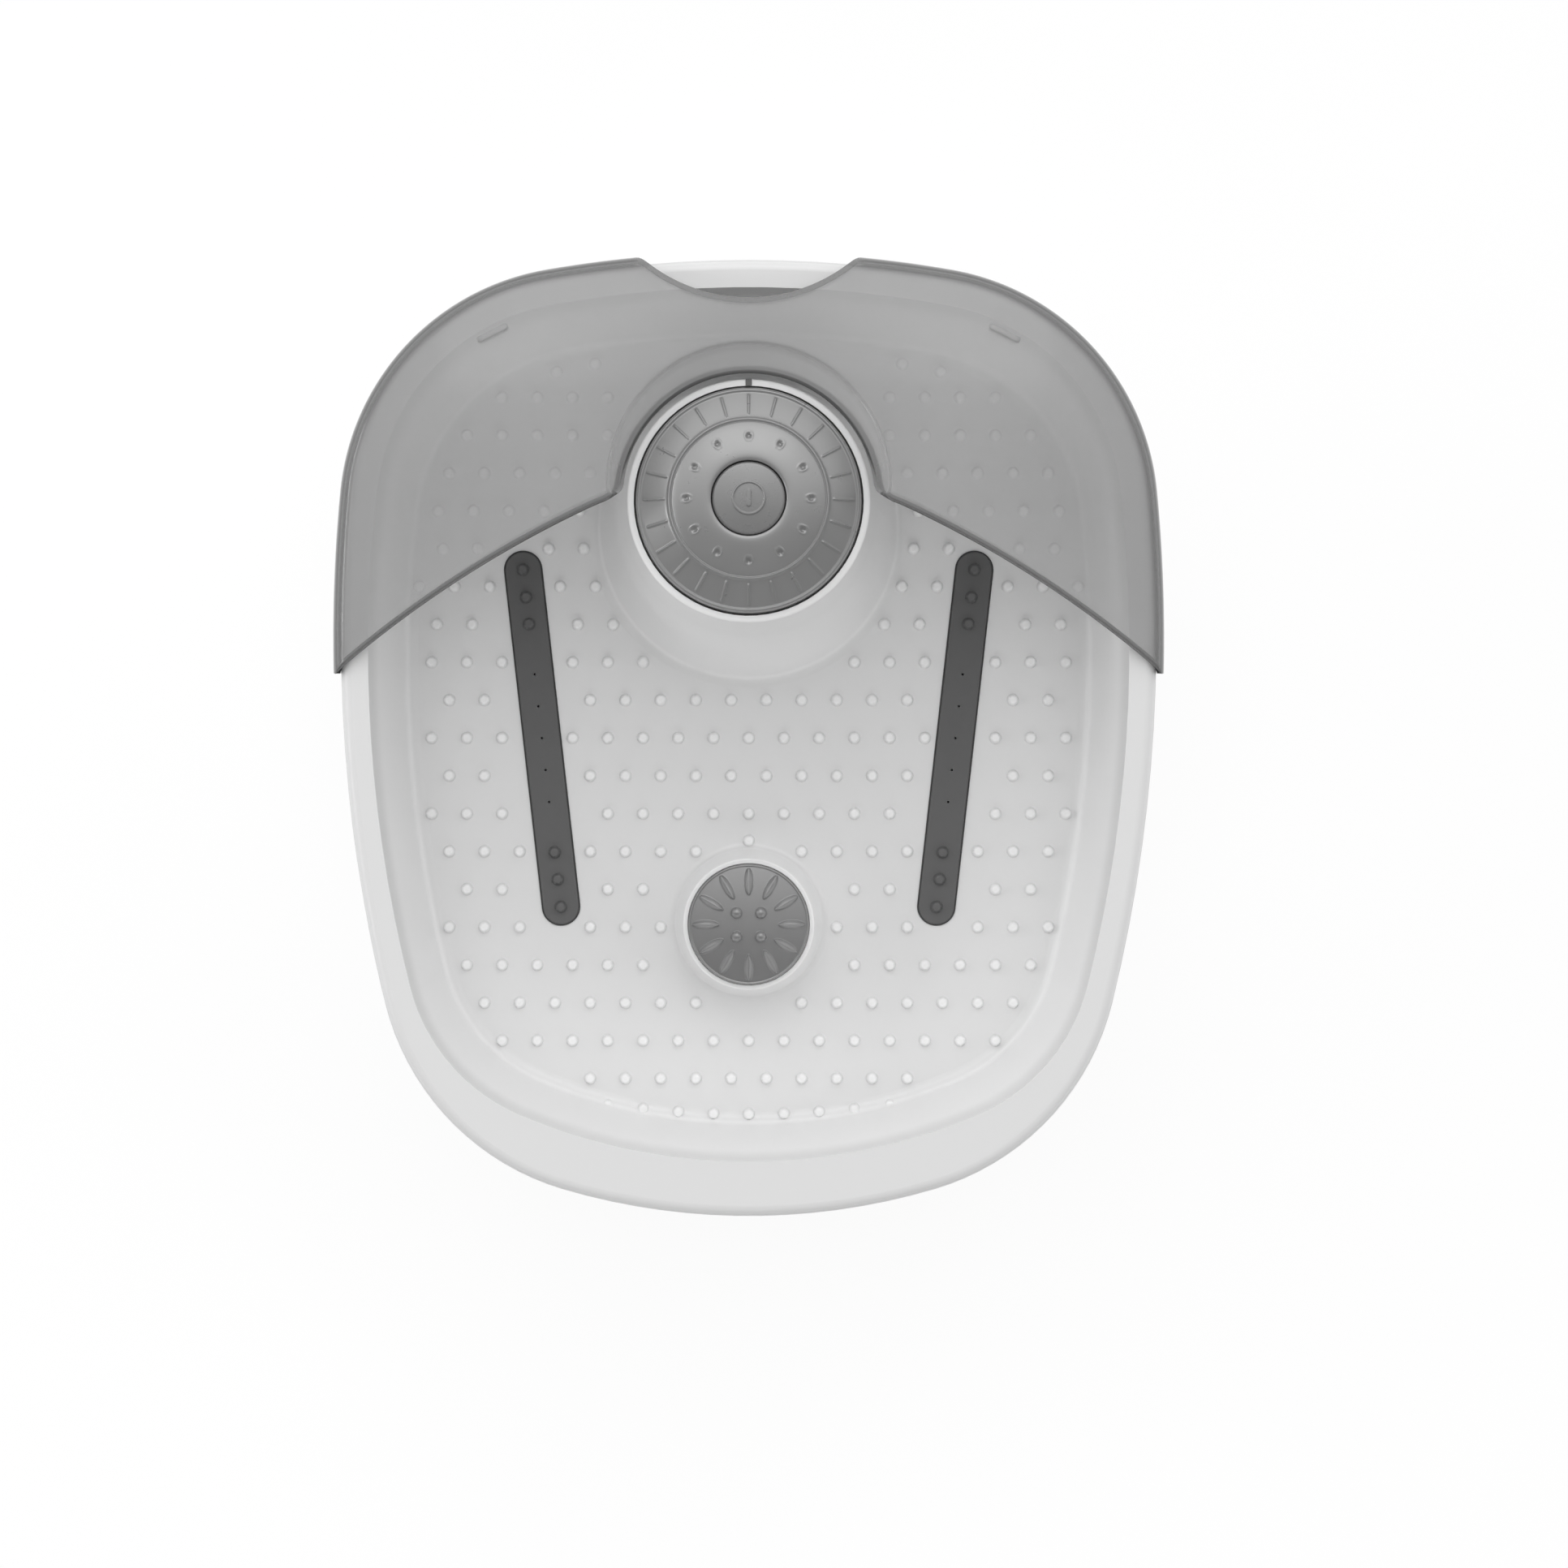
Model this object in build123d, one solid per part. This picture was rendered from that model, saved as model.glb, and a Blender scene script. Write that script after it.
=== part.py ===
from build123d import *
import math
import os

# Foot spa basin, millimetres. +Z up, origin at the centre of the base on the standing surface.
# -Y is the heel end where the user sits, +Y the toe end with the splash guard.

# Outline of the tub: tangent arcs from the rear centre round one side to the front centre.
REAR_Y = 191.5
TUB_ARCS = ((471, 9.94), (97.1, 84.5), (614, 103.8), (104, 163.55))
WELL_REAR_Y = 179.6
WELL_ARCS = ((434, 10.7), (84.3, 83.4), (553, 104.2), (76, 157.0))

# Heights
RIM_Z = 150.0
FLOOR_Z = 45.0
PARTING_Z = 36.0
CASING_Z = 6.0
WALL = 3.0
WELL_DRAFT = 2.7
BODY_TAPER = 4.5
CASING_TAPER = 11.7
CASING_STEP = 9.8

# Massage nubs on the floor
NUB_PITCH = 15.15
ROW_PITCH = 16.27
FIRST_ROW_Y = -145.8
ROW_PHASES = (0.5, 0, 0.5, 0, 0.5, 0, 0.5, 0, 0.5, 0, 0.5, 0, 0.85, 0.35, 0.68, 0.81, 0.5, 0, 0)
NUB_BASE_R = 2.8
NUB_TOP_R = 1.7
NUB_H = 3.0
NUB_WALL_ROOM = 9.5
NUB_STRIP_ROOM = 4.4
NUB_POD_ROOM = 5.3
NUB_BOSS_ROOM = 4.5
HEEL_ROW_Y = -161.2
HEEL_ROW_STEPS = 5
HEEL_ROW_BEND = 900.0
TOE_NUBS = ((66.0, 161.5), (82.5, 158.0))

# Pedestal and dial
DIAL_Y = 94.3
POD_BASE_Y = 90.3
POD_BASE_R = 64.2
POD_R = 48.7
POD_Z = 148.0
DECK_Z = 143.0
DECK_UNDER_Z = 139.5
DIAL_R = 45.3
DIAL_GAP = 0.8
RIM_SEAL_T = 0.55
RIM_SEAL_Z = 146.9
MARKER_Y = DIAL_Y + 47.5
MARKER_SIZE = (2.5, 2.7)
BUTTON_R = 14.7
BUTTON_GAP = 0.25
SHAFT_R = 8.0
SHAFT_BORE_R = 5.2
PLUNGER_R = 4.9
SELECTOR_R = 22.0
SPRING_Z = 147.0
SPRING_TOP_Z = 159.4

# Front boss and its massage disc
BOSS_Y = -78.6
BOSS_BASE_R = 32.0
BOSS_R = 27.8
BOSS_Z = 68.5
DISC_R = 25.6
STEM_R = 6.0

# Bubble strips
STRIP_REAR = (97.0, 72.9)
STRIP_FRONT = (80.7, -71.9)
STRIP_R = 7.7
STRIP_TOP_Z = 46.2
STRIP_NUBS = (49.4, 61.0, 72.9)
STRIP_HOLES = (-27.6, -13.8, 0, 13.8, 27.6)

# Splash guard: (inset from its outline, height) of its outer face, then wall and cuts
GUARD_GAP = 2.6
GUARD_T = 2.2
GUARD_PROFILE = ((0, 139), (0, 149.5), (0.9, 152.0), (3.0, 153.6), (10, 155.7), (25, 159.5), (45, 163.6), (66, 166.7),
                 (88, 168.2))
COLLAR_LOW = (94.0, 50.6, 151.0)
COLLAR_HIGH = (101.5, 55.5, 163.0)
COLLAR_OVERRUN = 12.0
GUARD_CORNER = (166.0, 24.5)
GUARD_TIP = (62.4, 89.8)
GUARD_FRONT_R = 473.0
CUTOUT_R = 63.5
CUTOUT_Y = 238.0
CLIP_AT = (102.0, 160.3)
CLIP_TURN = 27.0

# Base fittings
FEET = {"front": (88.0, -118.0), "rear": (100.0, 118.0)}
SCREWS_AT = ((122, 62), (122, -52), (62, -138), (-122, 62), (-122, -52), (-62, -138))
GLAND_Y = 177.2
GLAND_Z = 20.0
GLAND_PAD = 7.4
MOTOR_Y = -8.0
MOTOR_Z = 24.0
MOTOR_R = 12.0
WEIGHT_X = 26.0
PUMP_Y = 95.0
SELECTOR_SCREW_X = 17.0
BOARD_POSTS = tuple((x, DIAL_Y + y) for x in (-30, 30) for y in (-19, 19))
MOTOR_SCREWS = ((-18.0, MOTOR_Y), (18.0, MOTOR_Y))
PIVOT_X = 36.0

os.makedirs("parts", exist_ok=True)


def save(shape, node):
    export_step(shape, f"parts/{node}.step")


def chain_face(arcs, rear_y, inset=0.0):
    """Closed face bounded by tangent arcs, mirrored about X=0, moved inward by inset."""
    x = 0.0
    y = rear_y - inset
    start = -arcs[0][1]
    angle = 0.0
    joints = []
    for radius, end in arcs:
        r = radius - inset
        centre = (x - r * math.sin(math.radians(angle)), y - r * math.cos(math.radians(angle)))
        joints.append((centre, r, angle if joints else start, end))
        x = centre[0] + r * math.sin(math.radians(end))
        y = centre[1] + r * math.cos(math.radians(end))
        angle = end
    last_r = x / math.sin(math.radians(angle))
    last_centre = (0.0, y - last_r * math.cos(math.radians(angle)))
    edges = []
    for centre, r, a, b in joints:
        edges.append(arc_edge(centre, r, a, b))
        if centre[0] != 0.0:
            edges.append(arc_edge((-centre[0], centre[1]), r, -b, -a))
    edges.append(arc_edge(last_centre, last_r, angle, 360 - angle))
    return make_face(edges)


def arc_edge(centre, r, a, b):
    """Arc from clock angle a to b, measured from +Y towards +X."""
    points = []
    for angle in (a, (a + b) / 2, b):
        turn = math.radians(angle)
        points.append((centre[0] + r * math.sin(turn), centre[1] + r * math.cos(turn)))
    return ThreePointArc(*points)


def tub_face(inset):
    return chain_face(TUB_ARCS, REAR_Y, inset)


def well_face(inset):
    return chain_face(WELL_ARCS, WELL_REAR_Y, inset)


def down(face, z, depth, taper=0.0):
    """Face at height z drawn downward, narrowing by taper degrees."""
    return extrude(Pos(0, 0, z) * face, -depth, taper=taper)


def rod(x, y, z_low, z_high, r):
    """Upright cylinder between two heights."""
    return Pos(x, y, (z_low + z_high) / 2) * Cylinder(r, z_high - z_low)


def block(x, y, z_low, dx, dy, z_high):
    """Box centred at x, y between two heights."""
    return Pos(x, y, (z_low + z_high) / 2) * Box(dx, dy, z_high - z_low)


def cone(x, y, z_low, z_high, r_low, r_high):
    return Pos(x, y, (z_low + z_high) / 2) * Cone(r_low, r_high, z_high - z_low)


def slope_cone(low, high):
    """Leaning cone between two level circles, each (centre Y, radius, height)."""
    lower = Pos(0, low[0], low[2]) * Circle(low[1])
    upper = Pos(0, high[0], high[2]) * Circle(high[1])
    return loft([lower, upper])


def ring_on_axis(points, y):
    """Solid of revolution about the upright axis at X=0, Y=y, from (radius, height) points."""
    profile = make_face(Polyline(*points, close=True))
    return Pos(0, y, 0) * revolve(Plane.XZ * profile, Axis.Z)


def strip_place(side):
    """Location of a bubble strip: its middle on the floor, local X along its length."""
    rear = Vector(side * STRIP_REAR[0], STRIP_REAR[1])
    front = Vector(side * STRIP_FRONT[0], STRIP_FRONT[1])
    middle = (rear + front) / 2
    along = rear - front
    turn = math.degrees(math.atan2(along.Y, along.X))
    return Pos(middle.X, middle.Y, 0) * Rot(0, 0, turn), along.length


def slot_prism(place, length, r, z_low, z_high):
    """Round-ended bar, centre distance length, between two heights."""
    return place * Pos(0, 0, z_low) * extrude(SlotCenterToCenter(length, 2 * r), z_high - z_low)


def distance_to_segment(x, y, a, b):
    dx = b[0] - a[0]
    dy = b[1] - a[1]
    t = ((x - a[0]) * dx + (y - a[1]) * dy) / (dx * dx + dy * dy)
    t = min(1.0, max(0.0, t))
    return math.hypot(x - a[0] - t * dx, y - a[1] - t * dy)


def nub_spots():
    """Places of the floor nubs: rows across, clear of the strips, the pedestal, the boss and the wall."""
    edge_room = well_face(NUB_WALL_ROOM)
    spots = [(0.0, BOSS_Y + BOSS_BASE_R + 3.0)]
    for row, phase in enumerate(ROW_PHASES):
        y = FIRST_ROW_Y + row * ROW_PITCH
        for step in range(10):
            x = (step + phase) * NUB_PITCH
            if distance_to_segment(x, y, STRIP_REAR, STRIP_FRONT) < STRIP_R + NUB_STRIP_ROOM:
                continue
            if math.hypot(x, y - POD_BASE_Y) < POD_BASE_R + NUB_POD_ROOM:
                continue
            if math.hypot(x, y - BOSS_Y) < BOSS_BASE_R + NUB_BOSS_ROOM:
                continue
            if not edge_room.is_inside((x, y, 0)):
                continue
            spots.extend([(x, y), (-x, y)] if x > 0 else [(x, y)])
    for step in range(HEEL_ROW_STEPS):
        x = step * NUB_PITCH
        y = HEEL_ROW_Y + x * x / HEEL_ROW_BEND
        spots.extend([(x, y), (-x, y)] if x > 0 else [(x, y)])
    for x, y in TOE_NUBS:
        spots.extend([(x, y), (-x, y)])
    return spots


def floor_nub(x, y, z):
    nub = cone(x, y, z - 0.3, z + NUB_H, NUB_BASE_R, NUB_TOP_R)
    return fillet(nub.edges().sort_by(Axis.Z)[-1], 0.9)


# ---------------------------------------------------------------- basin
def build_basin():
    depth = RIM_Z - PARTING_Z
    outer = down(tub_face(0), RIM_Z, depth, BODY_TAPER)
    outer = fillet(outer.edges().group_by(Axis.Z)[-1], 4.5)
    hollow = down(tub_face(WALL), RIM_Z - WALL, depth, BODY_TAPER)
    tub = down(well_face(-WALL), RIM_Z - 1, RIM_Z - 1 - FLOOR_Z + WALL, WELL_DRAFT)
    tub = fillet(tub.edges().group_by(Axis.Z)[0], 8.0)
    well = down(well_face(0), RIM_Z, RIM_Z - FLOOR_Z, WELL_DRAFT)
    well = fillet(well.edges().group_by(Axis.Z)[0], 5.5)
    body = (outer - hollow) + tub - well

    pod = slope_cone((POD_BASE_Y, POD_BASE_R, FLOOR_Z - 1), (DIAL_Y, POD_R, POD_Z))
    pod_under = slope_cone((POD_BASE_Y, POD_BASE_R - WALL, FLOOR_Z - WALL - 0.5), (DIAL_Y, POD_R - WALL, DECK_UNDER_Z))
    boss = cone(0, BOSS_Y, FLOOR_Z - 1, BOSS_Z, BOSS_BASE_R, BOSS_R)
    body = body + pod + boss
    body = fillet(rim_edges(body, FLOOR_Z, POD_BASE_R, POD_BASE_Y), 5.0)
    body = fillet(rim_edges(body, FLOOR_Z, BOSS_BASE_R, BOSS_Y), 3.0)
    body = fillet(rim_edges(body, POD_Z, POD_R, DIAL_Y), 1.2)
    body = fillet(rim_edges(body, BOSS_Z, BOSS_R, BOSS_Y), 0.6)
    body -= pod_under
    body -= rod(0, DIAL_Y, DECK_Z, POD_Z + 1, DIAL_R + DIAL_GAP)
    body -= rod(0, DIAL_Y, DECK_UNDER_Z - 1, DECK_Z + 1, SHAFT_R + 0.4)
    body -= rod(0, BOSS_Y, BOSS_Z - 4, BOSS_Z + 1, DISC_R + 0.3)
    body -= rod(0, BOSS_Y, 49, BOSS_Z, STEM_R + 0.3)
    body -= block(0, MARKER_Y, POD_Z - 1.0, MARKER_SIZE[0] + 0.1, MARKER_SIZE[1] + 0.1, POD_Z + 1)
    for x in (-SELECTOR_SCREW_X, SELECTOR_SCREW_X):
        body -= rod(x, DIAL_Y, DECK_UNDER_Z - 1, DECK_Z - 0.8, 1.5)
    for x, y in BOARD_POSTS:
        body += rod(x, y, 110, DECK_UNDER_Z + 0.5, 3.5) - rod(x, y, 109, 122, 1.3)
    for side in (-1, 1):
        body = add_air_channel(body, side)
    for x, y in SCREWS_AT:
        column = rod(x, y, 16, FLOOR_Z - WALL + 0.5, 5.0)
        body += column - rod(x, y, 15, 30, 1.9)
    for x, y in MOTOR_SCREWS:
        column = rod(x, y, 38, FLOOR_Z - WALL + 0.5, 3.5)
        body += column - rod(x, y, 37, 42.6, 1.3)
    nubs = [floor_nub(x, y, FLOOR_Z) for x, y in nub_spots()]
    return body + nubs


def rim_edges(body, z, r, y):
    """Edges of a body that lie on the level circle of radius r about (0, y) at height z."""
    def on_circle(edge):
        middle = edge @ 0.5
        start = edge @ 0
        level = abs(middle.Z - z) < 0.05 and abs(start.Z - z) < 0.05
        near = [abs(math.hypot(point.X, point.Y - y) - r) < 0.9 for point in (middle, start)]
        return level and all(near)
    return body.edges().filter_by(on_circle)


def add_air_channel(body, side):
    """Pocket for a bubble strip, its air groove below and the hose nipple at its rear end."""
    place, length = strip_place(side)
    body += slot_prism(place, length, STRIP_R + 2.6, 35, FLOOR_Z - 0.5)
    body -= slot_prism(place, length, STRIP_R + 0.25, 43, FLOOR_Z + 5)
    body -= slot_prism(place, length, 4.5, 38, 44)
    body += rod(side * STRIP_REAR[0], STRIP_REAR[1], 30, 36, 3.0)
    body -= rod(side * STRIP_REAR[0], STRIP_REAR[1], 29, 39, 1.2)
    return body


# ---------------------------------------------------------------- base
def build_casing():
    height = PARTING_Z - CASING_Z
    outer = down(tub_face(CASING_STEP), PARTING_Z, height, CASING_TAPER)
    outer = fillet(outer.edges().group_by(Axis.Z)[0], 4.0)
    inner = down(tub_face(CASING_STEP + WALL), PARTING_Z, height - WALL, CASING_TAPER)
    pan = outer - inner
    lip = extrude(Pos(0, 0, PARTING_Z - 6) * (tub_face(CASING_STEP + 2.9) - tub_face(CASING_STEP + 4.7)), 11)
    pan += lip
    pan += block(0, GLAND_Y, CASING_Z + WALL, 26, GLAND_PAD, 31)
    pan -= Pos(0, GLAND_Y, GLAND_Z) * Rot(90, 0, 0) * Cylinder(5.5, 20)
    for x, y in SCREWS_AT:
        pan += rod(x, y, CASING_Z, 16, 6.5)
        pan -= rod(x, y, CASING_Z - 1, 12.5, 4.6)
        pan -= rod(x, y, 12, 17, 2.3)
    for x, y in foot_spots():
        pan -= rod(x, y, CASING_Z - 1, 10, 4.1)
    for row in range(5):
        for x in (-52, 52):
            pan -= block(x, -34 + 13 * row, CASING_Z - 1, 26, 2.6, 10)
    return pan


def foot_spots():
    return [(side * x, y) for x, y in FEET.values() for side in (-1, 1)]


def build_foot(x, y):
    foot = fillet(rod(x, y, 0, CASING_Z, 12).edges().group_by(Axis.Z)[0], 1.5)
    foot += rod(x, y, CASING_Z - 0.5, 9.5, 3.9)
    return foot + cone(x, y, 9.1, 11.2, 5.2, 3.6)


def build_screws():
    return [rod(x, y, 9.5, 12.5, 4.2) + rod(x, y, 12.4, 28, 1.8) for x, y in SCREWS_AT]


def build_gland():
    half = GLAND_PAD / 2
    grommet = rod(0, 0, -half, half, 5.4) + rod(0, 0, half, half + 2.4, 7.5) + rod(0, 0, -half - 2.4, -half, 7.5)
    grommet -= rod(0, 0, -GLAND_PAD, GLAND_PAD, 3.3)
    return Pos(0, GLAND_Y, GLAND_Z) * Rot(90, 0, 0) * grommet


# ---------------------------------------------------------------- strips and front disc
def build_strip(side):
    place, length = strip_place(side)
    strip = slot_prism(place, length, STRIP_R, 43.7, STRIP_TOP_Z)
    strip = fillet(strip.edges().group_by(Axis.Z)[-1], 0.7)
    strip += slot_prism(place, length, 4.2, 41.5, 44)
    for offset in STRIP_NUBS:
        for along in (-offset, offset):
            strip += place * floor_nub(along, 0, STRIP_TOP_Z)
    for along in STRIP_HOLES:
        strip -= place * rod(along, 0, 40, 50, 0.5)
    return strip


def build_strip_gasket(side):
    place, length = strip_place(side)
    return slot_prism(place, length, 7.4, 43, 43.7) - slot_prism(place, length, 5.2, 42, 44.5)


def vesica(length, width, height):
    """Lens-shaped prism from two arcs, along X."""
    half = length / 2
    upper = ThreePointArc((-half, 0), (0, width / 2), (half, 0))
    lower = ThreePointArc((half, 0), (0, -width / 2), (-half, 0))
    return extrude(make_face([upper, lower]), height)


def build_attachment():
    crown = 3.2
    ball_r = (DISC_R ** 2 + crown ** 2) / (2 * crown)
    top = BOSS_Z + 1.8
    ball = Pos(0, BOSS_Y, top + crown - ball_r) * Sphere(ball_r)
    rib_ball = Pos(0, BOSS_Y, top + crown - ball_r) * Sphere(ball_r + 0.9)
    disc = rod(0, BOSS_Y, BOSS_Z - 3.7, top + crown + 1, DISC_R) & ball
    disc += rod(0, BOSS_Y, top - 1.6, top + 0.5, DISC_R) - rod(0, BOSS_Y, top - 3, top + 1, DISC_R - 0.9)
    for index in range(12):
        place = Pos(0, BOSS_Y, top - 3) * Rot(0, 0, 30 * index) * Pos(18.2, 0, 0)
        disc += (place * vesica(11.3, 3.7, 9)) & rib_ball
    for x in (-5.15, 5.15):
        for y in (-5.05, 5.05):
            nub = cone(x, BOSS_Y + y, top + crown - 1.2, top + crown + 1.9, 2.45, 1.6)
            disc += fillet(nub.edges().group_by(Axis.Z)[-1], 0.9)
    stem = rod(0, BOSS_Y, 50, BOSS_Z - 3, STEM_R)
    stem -= Pos(0, BOSS_Y, 56) * Torus(STEM_R - 0.35, 0.75)
    return disc + stem


# ---------------------------------------------------------------- dial, button and selector
def build_dial():
    outer = [(DIAL_R, 143.6), (DIAL_R, 149.3), (44.8, 150.0), (44.0, 150.0), (43.5, 149.4), (41.0, 150.4),
             (38.0, 152.4), (35.0, 154.9), (32.4, 157.2), (32.2, 158.0), (31.6, 158.4), (31.0, 158.2), (30.7, 157.8),
             (27.0, 159.8), (23.0, 161.3), (19.0, 162.2), (15.6, 162.6), (BUTTON_R + BUTTON_GAP, 162.2)]
    inner = [(BUTTON_R + BUTTON_GAP, 147.0), (SHAFT_R + 0.02, 147.0), (SHAFT_R + 0.02, 144.5), (17.2, 144.5),
             (17.2, 159.6), (23.0, 158.8), (29.5, 155.8), (41.0, 147.4), (43.0, 147.0), (43.0, 143.6)]
    dial = ring_on_axis(outer + inner, DIAL_Y)
    for index in range(24):
        rib = make_face(Polyline((33.9, 155.2), (34.3, 156.3), (38.0, 153.1), (41.7, 150.9), (42.1, 149.2), close=True))
        rib = Plane.XZ.offset(-0.45) * rib
        dial += Pos(0, DIAL_Y, 0) * Rot(0, 0, 90 + 15 * index) * extrude(rib, 0.9)
    for index in range(12):
        dial -= Pos(0, DIAL_Y, 0) * Rot(0, 0, 30 * index) * Pos(24.8, 0, 162.6) * Sphere(2.5)
    return dial


def build_rim_seal():
    """Rubber ring that lines the gap round the dial."""
    outer_r = DIAL_R + DIAL_GAP
    return rod(0, DIAL_Y, DECK_Z, RIM_SEAL_Z, outer_r) - rod(0, DIAL_Y, DECK_Z - 1, POD_Z, outer_r - RIM_SEAL_T)


def build_button():
    crown = 1.6
    ball_r = (BUTTON_R ** 2 + crown ** 2) / (2 * crown)
    top = 161.6
    button = rod(0, DIAL_Y, 150.2, top + crown + 1, BUTTON_R)
    button &= Pos(0, DIAL_Y, top + crown - ball_r) * Sphere(ball_r)
    button -= rod(0, DIAL_Y, 150, 159.4, BUTTON_R - 2.0)
    button = button + (rod(0, DIAL_Y, 155, 160, 6.9) - rod(0, DIAL_Y, 154, 159.4, PLUNGER_R + 0.02))
    relief = rod(0, DIAL_Y, 160, 166, 6.8) - rod(0, DIAL_Y, 159, 167, 6.0) + block(0, DIAL_Y, 160, 2.1, 7.2, 166)
    return button + (relief & (Pos(0, DIAL_Y, top + crown - ball_r) * Sphere(ball_r + 0.45)))


def build_spring():
    helix = Helix(pitch=2.36, height=SPRING_TOP_Z - SPRING_Z - 1.4, radius=9.6, center=(0, 0, 0))
    wire = sweep(Plane(origin=helix @ 0, z_dir=helix % 0) * Rectangle(1.1, 1.1), path=helix, is_frenet=True)
    return Pos(0, DIAL_Y, SPRING_Z + 0.7) * wire


def build_selector_shaft():
    shaft = rod(0, DIAL_Y, 118.5, 147, SHAFT_R) - rod(0, DIAL_Y, 117, 148, SHAFT_BORE_R)
    return shaft - (rod(0, DIAL_Y, 120.3, 121.5, SHAFT_R + 1) - rod(0, DIAL_Y, 120, 122, SHAFT_R - 1))


def build_selector():
    housing = rod(0, DIAL_Y, 122, DECK_UNDER_Z, SELECTOR_R)
    housing = chamfer(housing.edges().group_by(Axis.Z)[0], 1.5)
    housing += block(0, DIAL_Y - SELECTOR_R - 2, 124, 16, 8, 132)
    housing -= rod(0, DIAL_Y, 121, 141, SHAFT_R + 0.06)
    for x in (-SELECTOR_SCREW_X, SELECTOR_SCREW_X):
        housing -= rod(x, DIAL_Y, 121, 141, 1.6)
    return housing


def build_selector_screws():
    spots = (-SELECTOR_SCREW_X, SELECTOR_SCREW_X)
    return [rod(x, DIAL_Y, 119.8, 122, 2.8) + rod(x, DIAL_Y, 121.9, 141.8, 1.4) for x in spots]


def build_board():
    board = fillet((block(0, DIAL_Y, 108.4, 72, 50, 110)).edges().filter_by(Axis.Z), 3)
    for x, y in BOARD_POSTS:
        board -= rod(x, y, 107, 111, 1.6)
    return board


def build_board_parts():
    relay = block(-24, DIAL_Y, 110, 12, 18, 119)
    terminals = block(24, DIAL_Y, 110, 10, 24, 118)
    capacitor = rod(-8, DIAL_Y + 19, 110, 119, 4.5)
    triac = block(10, DIAL_Y - 19, 110, 10, 5, 119)
    return [relay, terminals, capacitor, triac]


def build_board_screws():
    return [rod(x, y, 106.4, 108.4, 2.6) + rod(x, y, 108.3, 120, 1.2) for x, y in BOARD_POSTS]


# ---------------------------------------------------------------- splash guard
def guard_dome(grow, lift, low_z):
    """Domed solid through the guard's profile, moved inward by grow and down by lift."""
    faces = [Pos(0, 0, low_z) * tub_face(grow - GUARD_GAP)]
    for inset, z in GUARD_PROFILE[1:]:
        faces.append(Pos(0, 0, z - lift) * tub_face(inset + grow - GUARD_GAP))
    return loft(faces, ruled=True)


def guard_front_cut():
    """Region in front of the guard: under its swept front edge, joined to the dial's circle."""
    chord = math.dist(GUARD_CORNER, GUARD_TIP)
    sag = chord ** 2 / (8 * GUARD_FRONT_R)
    middle = Vector((GUARD_CORNER[0] + GUARD_TIP[0]) / 2, (GUARD_CORNER[1] + GUARD_TIP[1]) / 2)
    along = Vector(GUARD_TIP[0] - GUARD_CORNER[0], GUARD_TIP[1] - GUARD_CORNER[1]).normalized()
    bow = middle + Vector(along.Y, -along.X) * sag
    right = ThreePointArc(GUARD_CORNER, (bow.X, bow.Y), GUARD_TIP)
    left = ThreePointArc((-GUARD_CORNER[0], GUARD_CORNER[1]), (-bow.X, bow.Y), (-GUARD_TIP[0], GUARD_TIP[1]))
    inner = Polyline(GUARD_TIP, (30, 103), (-30, 103), (-GUARD_TIP[0], GUARD_TIP[1]))
    outer = Polyline((-GUARD_CORNER[0], GUARD_CORNER[1]), (-185, 8), (-185, -260), (185, -260), (185, 8), GUARD_CORNER)
    region = make_face([right, inner, left, outer]) + Pos(0, COLLAR_LOW[0]) * Circle(COLLAR_LOW[1])
    corners = region.vertices().filter_by(lambda v: abs(abs(v.X) - COLLAR_LOW[1]) < 6 and v.Y > 60)
    region = fillet(corners, 9)
    return extrude(Pos(0, 0, 100) * region, 120)


def build_guard():
    shell = guard_dome(0, 0, GUARD_PROFILE[0][1]) - guard_dome(GUARD_T, GUARD_T, GUARD_PROFILE[0][1] - 5)
    slope = (COLLAR_HIGH[1] - COLLAR_LOW[1]) / (COLLAR_HIGH[2] - COLLAR_LOW[2])
    lean = (COLLAR_HIGH[0] - COLLAR_LOW[0]) / (COLLAR_HIGH[2] - COLLAR_LOW[2])
    high = (COLLAR_HIGH[0] + lean * COLLAR_OVERRUN, COLLAR_HIGH[1] + slope * COLLAR_OVERRUN,
            COLLAR_HIGH[2] + COLLAR_OVERRUN)
    mouth = slope_cone(COLLAR_LOW, high)
    flare = slope_cone((COLLAR_LOW[0], COLLAR_LOW[1] + GUARD_T, COLLAR_LOW[2]), (high[0], high[1] + GUARD_T, high[2]))
    collar = (flare - mouth) & guard_dome(0, 0, GUARD_PROFILE[0][1])
    guard = shell + collar - mouth
    guard -= guard_front_cut()
    guard -= rod(0, CUTOUT_Y, 120, 200, CUTOUT_R)
    for side in (-1, 1):
        clip = block(0, 0, 144, 13.5, 2.6, 165) + block(0, 1.4, 144, 10, 1.6, 146)
        clip = Pos(side * CLIP_AT[0], CLIP_AT[1], 0) * Rot(0, 0, -side * CLIP_TURN) * clip
        guard += clip & guard_dome(1, 1, 100)
    return guard


# ---------------------------------------------------------------- vibration motor
def build_motor():
    can = Pos(0, MOTOR_Y, MOTOR_Z) * Rot(0, 90, 0) * Cylinder(MOTOR_R, 30)
    can = fillet(can.edges().filter_by(GeomType.CIRCLE), 1.2)
    can += Pos(16, MOTOR_Y, MOTOR_Z) * Rot(0, 90, 0) * Cylinder(4, 3)
    return can - Pos(4, MOTOR_Y, MOTOR_Z) * Rot(0, 90, 0) * Cylinder(1.55, 34)


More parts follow.
